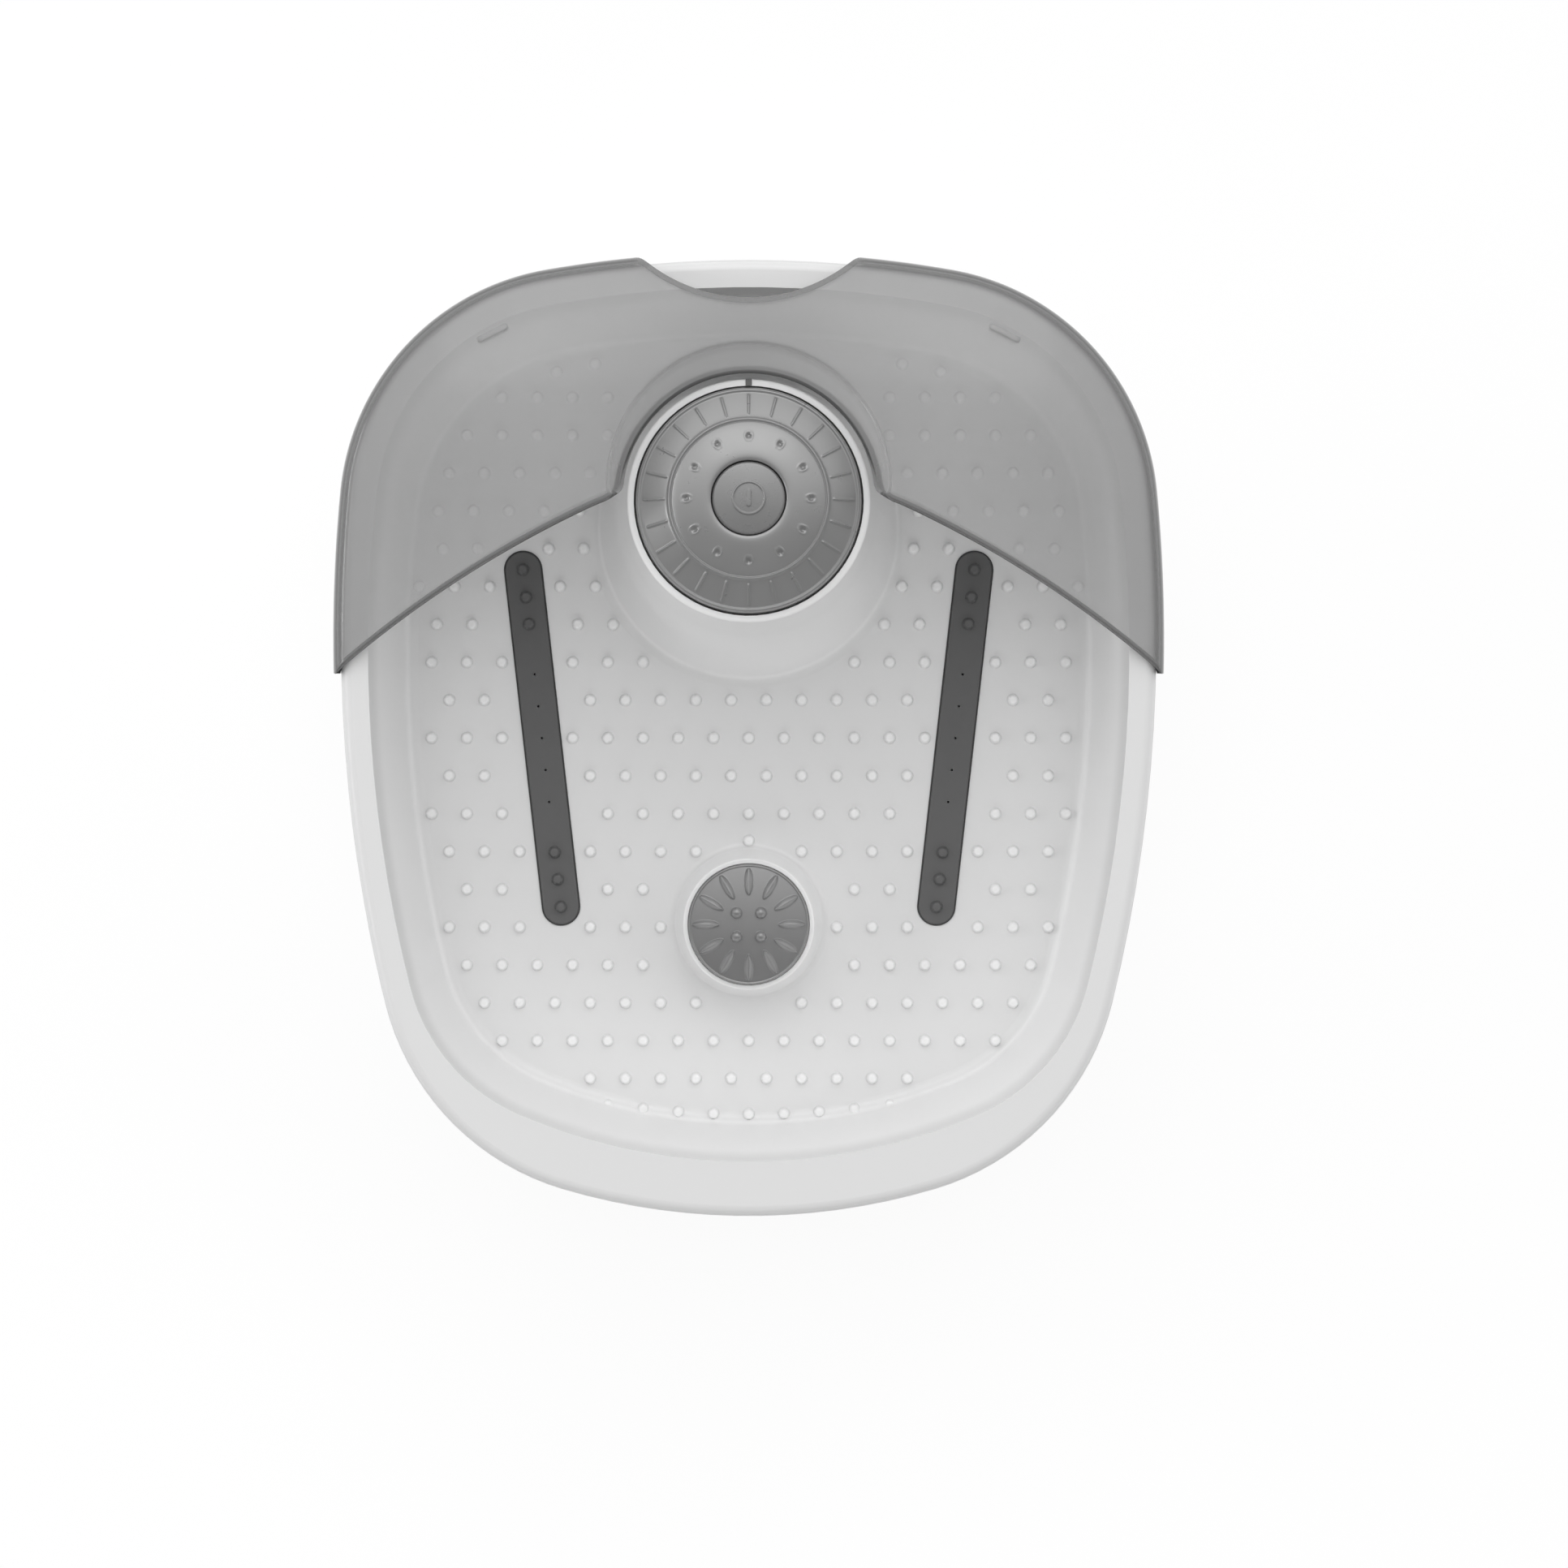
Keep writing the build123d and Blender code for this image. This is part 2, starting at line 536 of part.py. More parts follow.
def build_cradle():
    cradle = block(0, MOTOR_Y, 13, 20, 32, 38)
    cradle += block(0, MOTOR_Y, 34, 44, 12, 38)
    cradle -= Pos(0, MOTOR_Y, MOTOR_Z) * Rot(0, 90, 0) * Cylinder(MOTOR_R + 0.05, 40)
    cradle -= block(0, MOTOR_Y, 10, 22, 8, 16)
    for x, y in MOTOR_SCREWS:
        cradle -= rod(x, y, 33, 39, 1.5)
    return cradle


def build_motor_screws():
    return [rod(x, y, 32, 34, 2.6) + rod(x, y, 33.9, 42, 1.2) for x, y in MOTOR_SCREWS]


def build_motor_shaft():
    return Pos(9.5, MOTOR_Y, MOTOR_Z) * Rot(0, 90, 0) * Cylinder(1.5, 43)


def build_weight():
    place = Pos(WEIGHT_X, MOTOR_Y, MOTOR_Z) * Rot(0, 90, 0)
    half = (place * Cylinder(9, 8)) & block(WEIGHT_X, MOTOR_Y, 5, 20, 30, MOTOR_Z)
    return half + place * Cylinder(3.5, 8) - place * Cylinder(1.52, 12)


# ---------------------------------------------------------------- heater
def build_heater():
    pad = fillet(block(0, -22, 41.2, 124, 84, 42).edges().filter_by(Axis.Z), 8)
    return pad - fillet(block(0, MOTOR_Y, 40, 56, 40, 43).edges().filter_by(Axis.Z), 4)


def build_thermostat():
    return rod(48, -8, 36, 41.2, 8) + block(48, -8, 33.5, 5, 14, 36)


# ---------------------------------------------------------------- air pump
def build_pump_frame():
    frame = fillet(block(0, PUMP_Y, 9, 92, 56, 12).edges().filter_by(Axis.Z), 5)
    frame += block(-30, PUMP_Y, 12, 16, 26, 14)
    return frame + rod(PIVOT_X, PUMP_Y, 12, 17, 6)


def build_pump_core():
    core = block(-28, PUMP_Y, 14, 20, 22, 32)
    return core - block(-22, PUMP_Y - 5.5, 13, 12, 4, 33) - block(-22, PUMP_Y + 5.5, 13, 12, 4, 33)


def build_pump_coil():
    coil = fillet(block(-26, PUMP_Y, 33, 16, 22, 37).edges().filter_by(Axis.Z), 4)
    return coil + block(-26, PUMP_Y, 32.2, 10, 14, 33.5)


def build_pump_arm():
    bar = block(12, PUMP_Y, 19, 48, 3, 27)
    hub = rod(PIVOT_X, PUMP_Y, 18, 28, 5)
    return bar + hub - rod(PIVOT_X, PUMP_Y, 17, 29, 2.05)


def build_pump_magnet():
    return block(-13.5, PUMP_Y, 18, 3, 12, 28)


def build_bellows():
    cuffs = [Pos(14, PUMP_Y + 4.6 + 2.4 * index, 23) * Rot(90, 0, 0) * Cylinder(6.5, 1.2) for index in range(4)]
    core = Pos(14, PUMP_Y + 8.6, 23) * Rot(90, 0, 0) * Cylinder(4.6, 11.2)
    return core + cuffs


def build_valve_box():
    box = block(14, PUMP_Y + 18.6, 12, 24, 8.8, 32)
    box = fillet(box.edges().filter_by(Axis.Y), 2)
    for x in (8, 20):
        box += Pos(x, PUMP_Y + 24.5, 22) * Rot(90, 0, 0) * Cylinder(2.5, 5)
        box -= Pos(x, PUMP_Y + 24.5, 22) * Rot(90, 0, 0) * Cylinder(1.2, 6)
    return box


# ---------------------------------------------------------------- hoses and leads
def corner_radii(points, share=0.45):
    """For each corner, the radius whose tangent length is a share of the shorter run."""
    radii = []
    for a, b, c in zip(points, points[1:], points[2:]):
        before = Vector(*b) - Vector(*a)
        after = Vector(*c) - Vector(*b)
        half_turn = math.radians(before.get_angle(after)) / 2
        radii.append(share * min(before.length, after.length) / math.tan(half_turn))
    return radii


def tube(points, r_out, r_in=0.0):
    """Round tube along straight runs joined by tangent arcs."""
    path = FilletPolyline(*points, radius=corner_radii(points))
    start = Plane(origin=points[0], z_dir=Vector(*points[1]) - Vector(*points[0]))
    ring = Circle(r_out) - Circle(r_in) if r_in else Circle(r_out)
    return sweep(start * ring, path=path)


def build_hose(side):
    x_pump = 8 if side < 0 else 20
    y_pump = PUMP_Y + 27
    x_strip, y_strip = side * STRIP_REAR[0], STRIP_REAR[1]
    lane = y_pump + (16 if side < 0 else 9)
    points = [(x_pump, y_pump, 22), (x_pump, lane, 22), (side * 58, lane, 19), (x_strip, y_strip + 32, 17),
              (x_strip, y_strip, 17), (x_strip, y_strip, 30)]
    return tube(points, 2.5, 1.2)


def build_heater_lead():
    points = [(-20, DIAL_Y - 21, 108.4), (-20, DIAL_Y - 21, 50), (-26, 48, 30), (-34, 12, 29), (-34, 12, 41.2)]
    return tube(points, 1.2)


def build_motor_lead():
    points = [(20, DIAL_Y - 21, 108.4), (20, DIAL_Y - 21, 46), (6, 44, 26), (-26, 18, 24), (-26, MOTOR_Y, 24),
              (-15, MOTOR_Y, 24)]
    return tube(points, 1.2)


# ---------------------------------------------------------------- write every node
save(build_basin(), "basin")
save(build_casing(), "base_casing")
for place_name, (foot_x, foot_y) in FEET.items():
    save(build_foot(-foot_x, foot_y), f"foot_{place_name}_left")
    save(build_foot(foot_x, foot_y), f"foot_{place_name}_right")
save(Compound(build_screws()), "casing_screws")
save(build_gland(), "cord_gland")
for hand, side_sign in (("left", -1), ("right", 1)):
    save(build_strip(side_sign), f"bubble_strip_{hand}")
    save(build_strip_gasket(side_sign), f"strip_gasket_{hand}")
    save(build_hose(side_sign), f"air_hose_{hand}")
save(build_attachment(), "massage_attachment")
save(Pos(0, BOSS_Y, 56) * Torus(STEM_R - 0.3, 0.55), "attachment_ring")
save(build_dial(), "function_dial")
save(build_button(), "power_button")
save(rod(0, DIAL_Y, 121, 159.4, PLUNGER_R), "button_plunger")
save(build_spring(), "button_spring")
save(build_selector_shaft(), "selector_shaft")
save(rod(0, DIAL_Y, 120.4, 121.4, 10.5) - rod(0, DIAL_Y, 120, 122, SHAFT_R - 0.95), "shaft_clip")
save(rod(0, DIAL_Y, DECK_Z, 144.2, 12) - rod(0, DIAL_Y, 142, 145, SHAFT_R + 0.35), "dial_seal")
save(build_rim_seal(), "dial_rim_seal")
save(build_selector(), "selector_housing")
save(Compound(build_selector_screws()), "selector_screws")
save(block(0, DIAL_Y, 110, 13, 13, 117.6) - block(0, DIAL_Y - 7, 115, 8, 4, 118), "power_switch")
save(build_board(), "control_board")
save(Compound(build_board_parts()), "board_components")
save(Compound(build_board_screws()), "board_screws")
save(block(0, MARKER_Y, POD_Z - 0.95, *MARKER_SIZE, POD_Z + 0.4), "index_marker")
save(build_guard(), "splash_guard")
save(build_motor(), "motor_can")
save(build_cradle(), "motor_cradle")
save(Compound(build_motor_screws()), "motor_screws")
save(build_motor_shaft(), "motor_shaft")
save(build_weight(), "eccentric_weight")
save(build_heater(), "heater_pad")
save(build_thermostat(), "thermostat")
save(build_pump_frame(), "pump_frame")
save(build_pump_core(), "pump_core")
save(build_pump_coil(), "pump_coil")
save(build_pump_arm(), "pump_arm")
save(build_pump_magnet(), "pump_magnet")
save(rod(PIVOT_X, PUMP_Y, 17, 30, 2.0), "pump_pivot")
save(build_bellows(), "pump_bellows")
save(build_valve_box(), "pump_valve_box")
save(build_heater_lead(), "heater_lead")
save(build_motor_lead(), "motor_lead")
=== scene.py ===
import math

import bmesh
import bpy
import numpy as np
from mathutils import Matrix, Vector


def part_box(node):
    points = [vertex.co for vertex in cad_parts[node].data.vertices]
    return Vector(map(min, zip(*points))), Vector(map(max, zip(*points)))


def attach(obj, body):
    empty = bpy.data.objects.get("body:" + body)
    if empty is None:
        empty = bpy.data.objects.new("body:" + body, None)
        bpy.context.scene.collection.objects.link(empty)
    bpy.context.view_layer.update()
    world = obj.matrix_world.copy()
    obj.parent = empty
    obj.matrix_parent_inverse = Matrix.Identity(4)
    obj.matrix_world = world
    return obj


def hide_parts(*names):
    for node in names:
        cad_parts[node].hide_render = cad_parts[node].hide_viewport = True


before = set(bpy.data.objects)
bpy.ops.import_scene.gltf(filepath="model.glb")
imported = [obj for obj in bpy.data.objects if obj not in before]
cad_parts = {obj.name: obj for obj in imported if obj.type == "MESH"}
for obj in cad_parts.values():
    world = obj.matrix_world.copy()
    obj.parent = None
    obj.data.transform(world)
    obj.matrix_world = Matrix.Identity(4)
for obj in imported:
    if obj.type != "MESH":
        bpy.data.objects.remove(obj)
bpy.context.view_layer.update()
MM = 0.001
DEGREES_PER_RADIAN = 57.3

# ---------------------------------------------------------------- places read from the frame
DIAL_LOW, DIAL_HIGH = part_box("function_dial")
BUTTON_LOW, BUTTON_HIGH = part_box("power_button")
DISC_LOW, DISC_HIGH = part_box("massage_attachment")
DIAL_X, DIAL_Y = (DIAL_LOW.x + DIAL_HIGH.x) / 2, (DIAL_LOW.y + DIAL_HIGH.y) / 2
BUTTON_R = (BUTTON_HIGH.x - BUTTON_LOW.x) / 2
DISC_Y = (DISC_LOW.y + DISC_HIGH.y) / 2

# Heights, radii and widths below are in millimetres unless they are multiplied by MM.
TUB_FLOOR_Z = 45.0

# ---------------------------------------------------------------- camera and lights
CAMERA_HEIGHT = 1.544
CAMERA_Y = -0.0192
LENS_MM = 80.0
SENSOR_MM = 36.0
FRAME_SHIFT = 0.022516

scene = bpy.context.scene
scene.view_settings.view_transform = "Standard"
scene.view_settings.look = "None"


def make_camera():
    """A camera straight above the tub, shifted a little so that the tub stands left of the middle."""
    data = bpy.data.cameras.new("camera")
    data.lens = LENS_MM
    data.sensor_width = SENSOR_MM
    data.shift_x = FRAME_SHIFT
    camera = bpy.data.objects.new("camera", data)
    camera.location = (0, CAMERA_Y, CAMERA_HEIGHT)
    scene.collection.objects.link(camera)
    scene.camera = camera


def softbox(name, place, target, size, energy, glossy=True, diffuse=True):
    """A rectangular lamp at place that shines at target; glossy and diffuse say which light it gives."""
    data = bpy.data.lights.new(name, "AREA")
    data.shape = "RECTANGLE"
    data.size, data.size_y = size
    data.energy = energy
    lamp = bpy.data.objects.new(name, data)
    lamp.location = place
    lamp.rotation_mode = "QUATERNION"
    lamp.rotation_quaternion = (Vector(target) - Vector(place)).to_track_quat("-Z", "Y")
    lamp.visible_glossy = glossy
    lamp.visible_diffuse = diffuse
    scene.collection.objects.link(lamp)


def make_world(front, rear):
    """White surroundings whose brightness rises smoothly from the front of the object to its rear."""
    world = bpy.data.worlds.new("studio")
    world.use_nodes = True
    tree = world.node_tree
    background = tree.nodes["Background"]
    background.inputs["Color"].default_value = (1, 1, 1, 1)
    direction = tree.nodes.new("ShaderNodeTexCoord")
    split = tree.nodes.new("ShaderNodeSeparateXYZ")
    level = tree.nodes.new("ShaderNodeMapRange")
    level.interpolation_type = "SMOOTHSTEP"
    level.inputs["From Min"].default_value = -0.35
    level.inputs["From Max"].default_value = 0.5
    level.inputs["To Min"].default_value = front
    level.inputs["To Max"].default_value = rear
    tree.links.new(direction.outputs["Generated"], split.inputs["Vector"])
    tree.links.new(split.outputs["Y"], level.inputs["Value"])
    tree.links.new(level.outputs["Result"], background.inputs["Strength"])
    scene.world = world


make_camera()
make_world(0.14, 1.0)
softbox("overhead", (0.0, 0.1, 2.4), (0, 0.05, 0.1), (1.5, 1.5), 9, glossy=False)
softbox("front_fill", (0.0, -1.5, 1.2), (0, 0.1, 0.15), (1.8, 0.9), 7, glossy=False)
softbox("right_fill", (1.6, 0.0, 1.3), (-0.05, 0.0, 0.05), (0.9, 1.4), 3, glossy=False)
softbox("rear_box", (0.0, 1.3, 1.55), (0, 0.1, 0.15), (1.8, 1.0), 4)
softbox("rear_gleam", (0.0, 1.3, 1.55), (0, 0.1, 0.15), (1.8, 1.0), 11, diffuse=False)
softbox("left_strip", (-1.7, 0.1, 0.85), (0, 0.1, 0.15), (1.5, 0.22), 6)


# ---------------------------------------------------------------- mesh helpers
def add_mesh(name, points, faces, smooth=True):
    mesh = bpy.data.meshes.new(name)
    mesh.from_pydata([tuple(p) for p in points], [], faces)
    mesh.update()
    piece = bpy.data.objects.new(name, mesh)
    scene.collection.objects.link(piece)
    if smooth:
        mesh.shade_smooth()
    return piece


def outward(piece):
    """Makes every face of a closed piece point outward."""
    work = bmesh.new()
    work.from_mesh(piece.data)
    bmesh.ops.recalc_face_normals(work, faces=work.faces)
    work.to_mesh(piece.data)
    work.free()


def catmull(points, steps=8):
    """Points along a smooth curve that passes through the given (r, z) points."""
    ends = [points[0], *points, points[-1]]
    out = []
    for a, b, c, d in zip(ends, ends[1:], ends[2:], ends[3:]):
        for step in range(steps):
            t = step / steps
            weights = (-t + 2 * t**2 - t**3, 2 - 5 * t**2 + 3 * t**3, t + 4 * t**2 - 3 * t**3, -t**2 + t**3)
            out.append(tuple(sum(w * p[i] for w, p in zip(weights, (a, b, c, d))) / 2 for i in (0, 1)))
    return out + [points[-1]]


def ramp(x, low, high):
    """0 below low, 1 above high, with a smooth step between."""
    t = np.clip((np.asarray(x, float) - low) / (high - low), 0, 1)
    return t * t * (3 - 2 * t)


def ring_faces(rings, wide, closed):
    """Quads between neighbouring rings of wide points each; closed joins the last ring to the first."""
    faces = []
    for ring in range(rings if closed else rings - 1):
        after = (ring + 1) % rings
        for k in range(wide):
            k2 = (k + 1) % wide
            faces.append((ring * wide + k, ring * wide + k2, after * wide + k2, after * wide + k))
    return faces


def turned(name, top, rest, relief, centre, segments):
    """Closed surface of revolution, in metres, from (r, z) profiles in millimetres.

    top is the outside face, from the axis or inner edge outward, and takes relief(x, y, r) in z;
    rest runs from its end back underneath. A profile that starts and ends on the axis closes at poles."""
    angles = np.arange(segments) * 2 * math.pi / segments
    profile = [(r, z, True) for r, z in top] + [(r, z, False) for r, z in rest]
    solid = profile[0][0] == 0
    rows = profile[1:-1] if solid else profile
    points = []
    for r, z, raised in rows:
        x, y = r * np.cos(angles), r * np.sin(angles)
        lift = relief(x, y, r) if raised else np.zeros(segments)
        points += list(zip(centre[0] + x * MM, centre[1] + y * MM, (z + lift) * MM))
    faces = ring_faces(len(rows), segments, closed=not solid)
    if solid:
        crown_z = profile[0][1] + float(relief(np.zeros(1), np.zeros(1), 0)[0])
        for row, z in ((0, crown_z), (len(rows) - 1, profile[-1][1])):
            pole = len(points)
            points.append((centre[0], centre[1], z * MM))
            for k in range(segments):
                faces.append((row * segments + k, row * segments + (k + 1) % segments, pole))
    piece = add_mesh(name, points, faces)
    outward(piece)
    return piece


# ---------------------------------------------------------------- dial
DIAL_SEGMENTS = 720
DIAL_CURVE_STEPS = 6
TICK_STEP = math.radians(15)
TICK_HEIGHT = 0.95
DIMPLE_STEP = math.radians(30)
DIMPLE_RING_R = 24.8
DIMPLE_DEPTH = 1.1
DIMPLE_LIP = 0.3


def off_spoke(angle, step):
    """How far an angle is from the nearest multiple of step, as a share of step from -0.5 to 0.5."""
    return (angle / step + 0.5) % 1 - 0.5


def dial_relief(x, y, r):
    """Tick ribs on the dial's skirt and a ring of dimples, each with a faint lip, round its button."""
    angle = np.arctan2(y, x)
    across = np.abs(off_spoke(angle, TICK_STEP)) * TICK_STEP * r
    along = ramp(r, 33.4, 34.4) * (1 - ramp(r, 41.6, 42.6))
    ribs = TICK_HEIGHT * (1 - ramp(across, 0.12, 0.55)) * along
    away = np.hypot(off_spoke(angle, DIMPLE_STEP) * DIMPLE_STEP * DIMPLE_RING_R, r - DIMPLE_RING_R)
    lips = DIMPLE_LIP * ramp(away, 1.2, 1.6) * (1 - ramp(away, 1.7, 2.2))
    dimples = -DIMPLE_DEPTH * (1 - ramp(away, 0.5, 1.4)) + lips
    return ribs + dimples


def make_dial():
    crown = [(15.0, 158.0), (15.0, 161.6), (15.5, 162.5), (17.0, 162.7), (20.0, 162.2), (24.0, 161.1)]
    groove = [(28.0, 159.6), (30.3, 158.5), (30.8, 158.1), (31.2, 158.3), (31.6, 158.8), (32.1, 158.5)]
    skirt = [(32.5, 157.6), (33.2, 156.9), (36.0, 155.4), (39.0, 153.8), (42.0, 152.2), (43.0, 151.7)]
    edge = [(43.4, 151.8), (43.9, 152.1), (44.5, 151.8), (44.9, 150.9), (45.2, 149.0)]
    top = catmull(crown + groove + skirt + edge, DIAL_CURVE_STEPS)
    outside = [(45.3, 148.5), (45.3, 144.2), (45.0, 143.7), (43.4, 143.7)]
    underside = [(43.0, 147.0), (41.0, 147.6), (29.5, 155.8), (23.0, 158.6), (17.4, 159.2)]
    hub = [(17.4, 144.6), (8.3, 144.6), (8.3, 147.0), (14.8, 147.0), (15.0, 147.4)]
    rest = outside + underside + hub
    dial = turned("dial", top, rest, dial_relief, (DIAL_X, DIAL_Y), DIAL_SEGMENTS)
    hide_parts("function_dial")
    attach(dial, "dial")
    return dial


# ---------------------------------------------------------------- button
BUTTON_SEGMENTS = 240
BUTTON_TOP_Z = 163.2
BUTTON_DOME = 1.6
SIGN_HEIGHT = 0.5
BAR_HALF_LENGTH = 2.55


def button_relief(x, y, r):
    """A generic power sign: a raised ring with a short bar inside it."""
    ring = ramp(r, 5.75, 6.1) * (1 - ramp(r, 6.6, 6.95))
    bar_x, bar_y = np.abs(x), np.maximum(np.abs(y) - BAR_HALF_LENGTH, 0)
    bar = 1 - ramp(np.hypot(bar_x, bar_y), 0.75, 1.1)
    return SIGN_HEIGHT * np.maximum(ring, bar)


def make_button():
    crown = [(r, BUTTON_TOP_Z - BUTTON_DOME * (r / BUTTON_R * MM) ** 2) for r in np.linspace(0, 13.6, 100)]
    top = [*crown, (14.1, 161.55), (14.45, 161.2)]
    rest = [(14.65, 160.6), (14.7, 160.0), (14.7, 150.3), (12.7, 150.3), (12.7, 159.3), (0, 159.3)]
    button = turned("button", top, rest, button_relief, (DIAL_X, DIAL_Y), BUTTON_SEGMENTS)
    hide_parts("power_button")
    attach(button, "button")
    return button


# ---------------------------------------------------------------- massage disc
DISC_SEGMENTS = 480
DISC_TOP_Z = 73.5
DISC_DOME = 3.2
DISC_R = 25.6
RIB_STEP = math.radians(30)
RIB_MIDDLE_R = 18.2
RIB_HALF_LENGTH = 5.65
RIB_HALF_WIDTH = 1.85
RIB_HEIGHT = 1.5
RIB_ROUNDNESS = 0.6
THINNEST_RIB = 0.05
DISC_NUB_X = 5.15
DISC_NUB_Y = 5.05
DISC_NUB_R = 2.45
DISC_NUB_HEIGHT = 2.5
DISC_RIM_HEIGHT = 0.5


def disc_relief(x, y, r):
    """Lens-shaped ribs in a ring, four round nubs in the middle and a low rim."""
    turn = off_spoke(np.arctan2(y, x), RIB_STEP) * RIB_STEP
    across = np.abs(np.sin(turn)) * r
    along = np.abs(r * np.cos(turn) - RIB_MIDDLE_R) / RIB_HALF_LENGTH
    half_width = RIB_HALF_WIDTH * np.sqrt(np.clip(1 - along**2, 0, 1))
    inward = np.clip(1 - across / np.maximum(half_width, THINNEST_RIB), 0, 1)
    ribs = RIB_HEIGHT * np.where(half_width > THINNEST_RIB, inward, 0) ** RIB_ROUNDNESS
    nubs = np.zeros_like(ribs)
    for nub_x in (-DISC_NUB_X, DISC_NUB_X):
        for nub_y in (-DISC_NUB_Y, DISC_NUB_Y):
            away = np.hypot(x - nub_x, y - nub_y) / DISC_NUB_R
            nubs = np.maximum(nubs, DISC_NUB_HEIGHT * np.sqrt(np.clip(1 - away**2, 0, 1)))
    rim = DISC_RIM_HEIGHT * ramp(r, 24.5, 24.8)
    return np.maximum(ribs, nubs) + rim


def make_disc():
    crown = [(r, DISC_TOP_Z - DISC_DOME * (r / DISC_R) ** 2) for r in np.linspace(0, 25.0, 110)]
    top = [*crown, (25.35, 70.2), (DISC_R, 69.8)]
    plate = [(DISC_R, 69.3), (DISC_R, 65.2), (25.2, 64.9), (6.0, 64.9)]
    stem = [(6.0, 56.8), (5.5, 56.0), (6.0, 55.2), (6.0, 50.8), (5.4, 50.1), (0, 50.1)]
    disc = turned("massage_disc", top, plate + stem, disc_relief, (0.0, DISC_Y), DISC_SEGMENTS)
    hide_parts("massage_attachment")
    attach(disc, "attachment")
    return disc


# ---------------------------------------------------------------- seals round the bubble strips
STRIP_R = 7.7
SEAL_TURN_STEPS = 24
SEAL_SECTION = ((0.02, 0.0), (0.02, 0.5), (0.14, 0.65), (0.44, 0.65), (0.58, 0.5), (0.58, 0.0))


def make_strip_seal(side):
    """Thin black lip round a bubble strip, where the strip meets the tub's floor."""
    low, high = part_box("bubble_strip_right" if side > 0 else "bubble_strip_left")
    outer_x = side * max(abs(low.x), abs(high.x))
    inner_x = side * min(abs(low.x), abs(high.x))
    to_centre = (side * STRIP_R, STRIP_R)
    rear = np.array([outer_x, high.y]) / MM - to_centre
    front = np.array([inner_x, low.y]) / MM + to_centre
    along = math.atan2(*(rear - front)[::-1])
    turns = [along + math.pi * (k / SEAL_TURN_STEPS - 0.5) for k in range(SEAL_TURN_STEPS + 1)]
    stations = [(rear, turn) for turn in turns] + [(front, turn + math.pi) for turn in turns]
    points = []
    for centre, turn in stations:
        for grow, lift in SEAL_SECTION:
            x, y = centre + (STRIP_R + grow) * np.array([math.cos(turn), math.sin(turn)])
            points.append((x * MM, y * MM, (TUB_FLOOR_Z + lift) * MM))
    faces = ring_faces(len(stations), len(SEAL_SECTION), closed=True)
    seal = add_mesh("strip_seal_right" if side > 0 else "strip_seal_left", points, faces)
    outward(seal)
    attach(seal, "root")
    return seal


# ---------------------------------------------------------------- splash guard
GUARD_T = 2.2 * MM
GUARD_GAP = 2.6
# The tub's outline in plan is a chain of tangent arcs from its rear centre.
# Each is (radius, end angle from +Y in degrees).
TUB_ARCS = ((471.0, 9.94), (97.1, 84.5), (614.0, 103.8), (104.0, 163.55))
TUB_REAR_Y = 191.5
SKIRT_LOW_Z = 139.0
SKIRT_TOP_Z = 146.6
SHOULDER_R = 6.0
EDGE_LIP = 1.5
COLLAR_TOP = (101.6, 55.4)
COLLAR_FOOT = (94.6, 50.3)
COLLAR_FOOT_Z = 151.5
COLLAR_START_DEG = 7
COLLAR_CORNER = (50.9, 95.0)
COLLAR_BEND_R = 7.0
FRONT_CORNER = (165.4, 24.8)
FRONT_TIP = (60.9, 90.9)
FRONT_R = 473.0
CUTOUT_R = 63.5
CUTOUT_Y = 238.0
CUTOUT_BEND_R = 4
PLATEAU_INSET = 105.0
DOME_SLOPE = 0.292
EDGE_WIDTH = 1.3
EDGE_DROP = 1.7
SKIRT_ROWS = (1.0, 0.97, 0.7, 0.4, 0.15, 0.0)
SHOULDER_ROWS = (0.12, 0.35, 0.7, 1.1, 1.6, 2.2, 3.0, 3.9, 5.0, 6.5)
TOP_ROWS = 33
EDGE_ROWS = 20
CREASE_SHARE = 0.3
FACE_ROW_ON_TOP = 20
BEVEL_WIDTH = 0.4 * MM


def arc_chain(grow, step):
    """Points about step apart on half the tub's outline, grown outward, from its rear centre."""
    x, y, angle = 0.0, TUB_REAR_Y + grow, 0.0
    points = []
    for radius, end in TUB_ARCS:
        r = radius + grow
        cx, cy = x - r * math.sin(math.radians(angle)), y - r * math.cos(math.radians(angle))
        count = max(2, int((end - angle) * r / DEGREES_PER_RADIAN / step))
        for k in range(count):
            t = math.radians(angle + (end - angle) * k / count)
            points.append((cx + r * math.sin(t), cy + r * math.cos(t)))
        x, y = cx + r * math.sin(math.radians(end)), cy + r * math.cos(math.radians(end))
        angle = end
    return np.array(points + [(x, y)])


def inset_of(points, outline):
    """Distance of each point from the outline, which is a polyline."""
    a, b = outline[:-1], outline[1:]
    ab = b - a
    best = np.full(len(points), 1e9)
    for start, along in zip(a, ab):
        t = np.clip(((points - start) @ along) / (along @ along), 0, 1)
        best = np.minimum(best, np.hypot(*(points - start - t[:, None] * along).T))
    return best


def guard_height(d):
    """Height of the guard's outer face at a distance d inside its outline, in millimetres."""
    shoulder = SHOULDER_R * np.sqrt(1 - (1 - np.clip(d / SHOULDER_R, 0, 1)) ** 2)
    inset = np.clip(d, 0, PLATEAU_INSET)
    return SKIRT_TOP_Z + shoulder + DOME_SLOPE * (inset - inset * inset / (2 * PLATEAU_INSET))


def along_length(points, fractions):
    """Points at the given fractions of a polyline's length."""
    points = np.asarray(points, float)
    length = np.concatenate([[0], np.cumsum(np.hypot(*np.diff(points, axis=0).T))])
    return np.stack([np.interp(np.asarray(fractions) * length[-1], length, points[:, i]) for i in (0, 1)], 1)


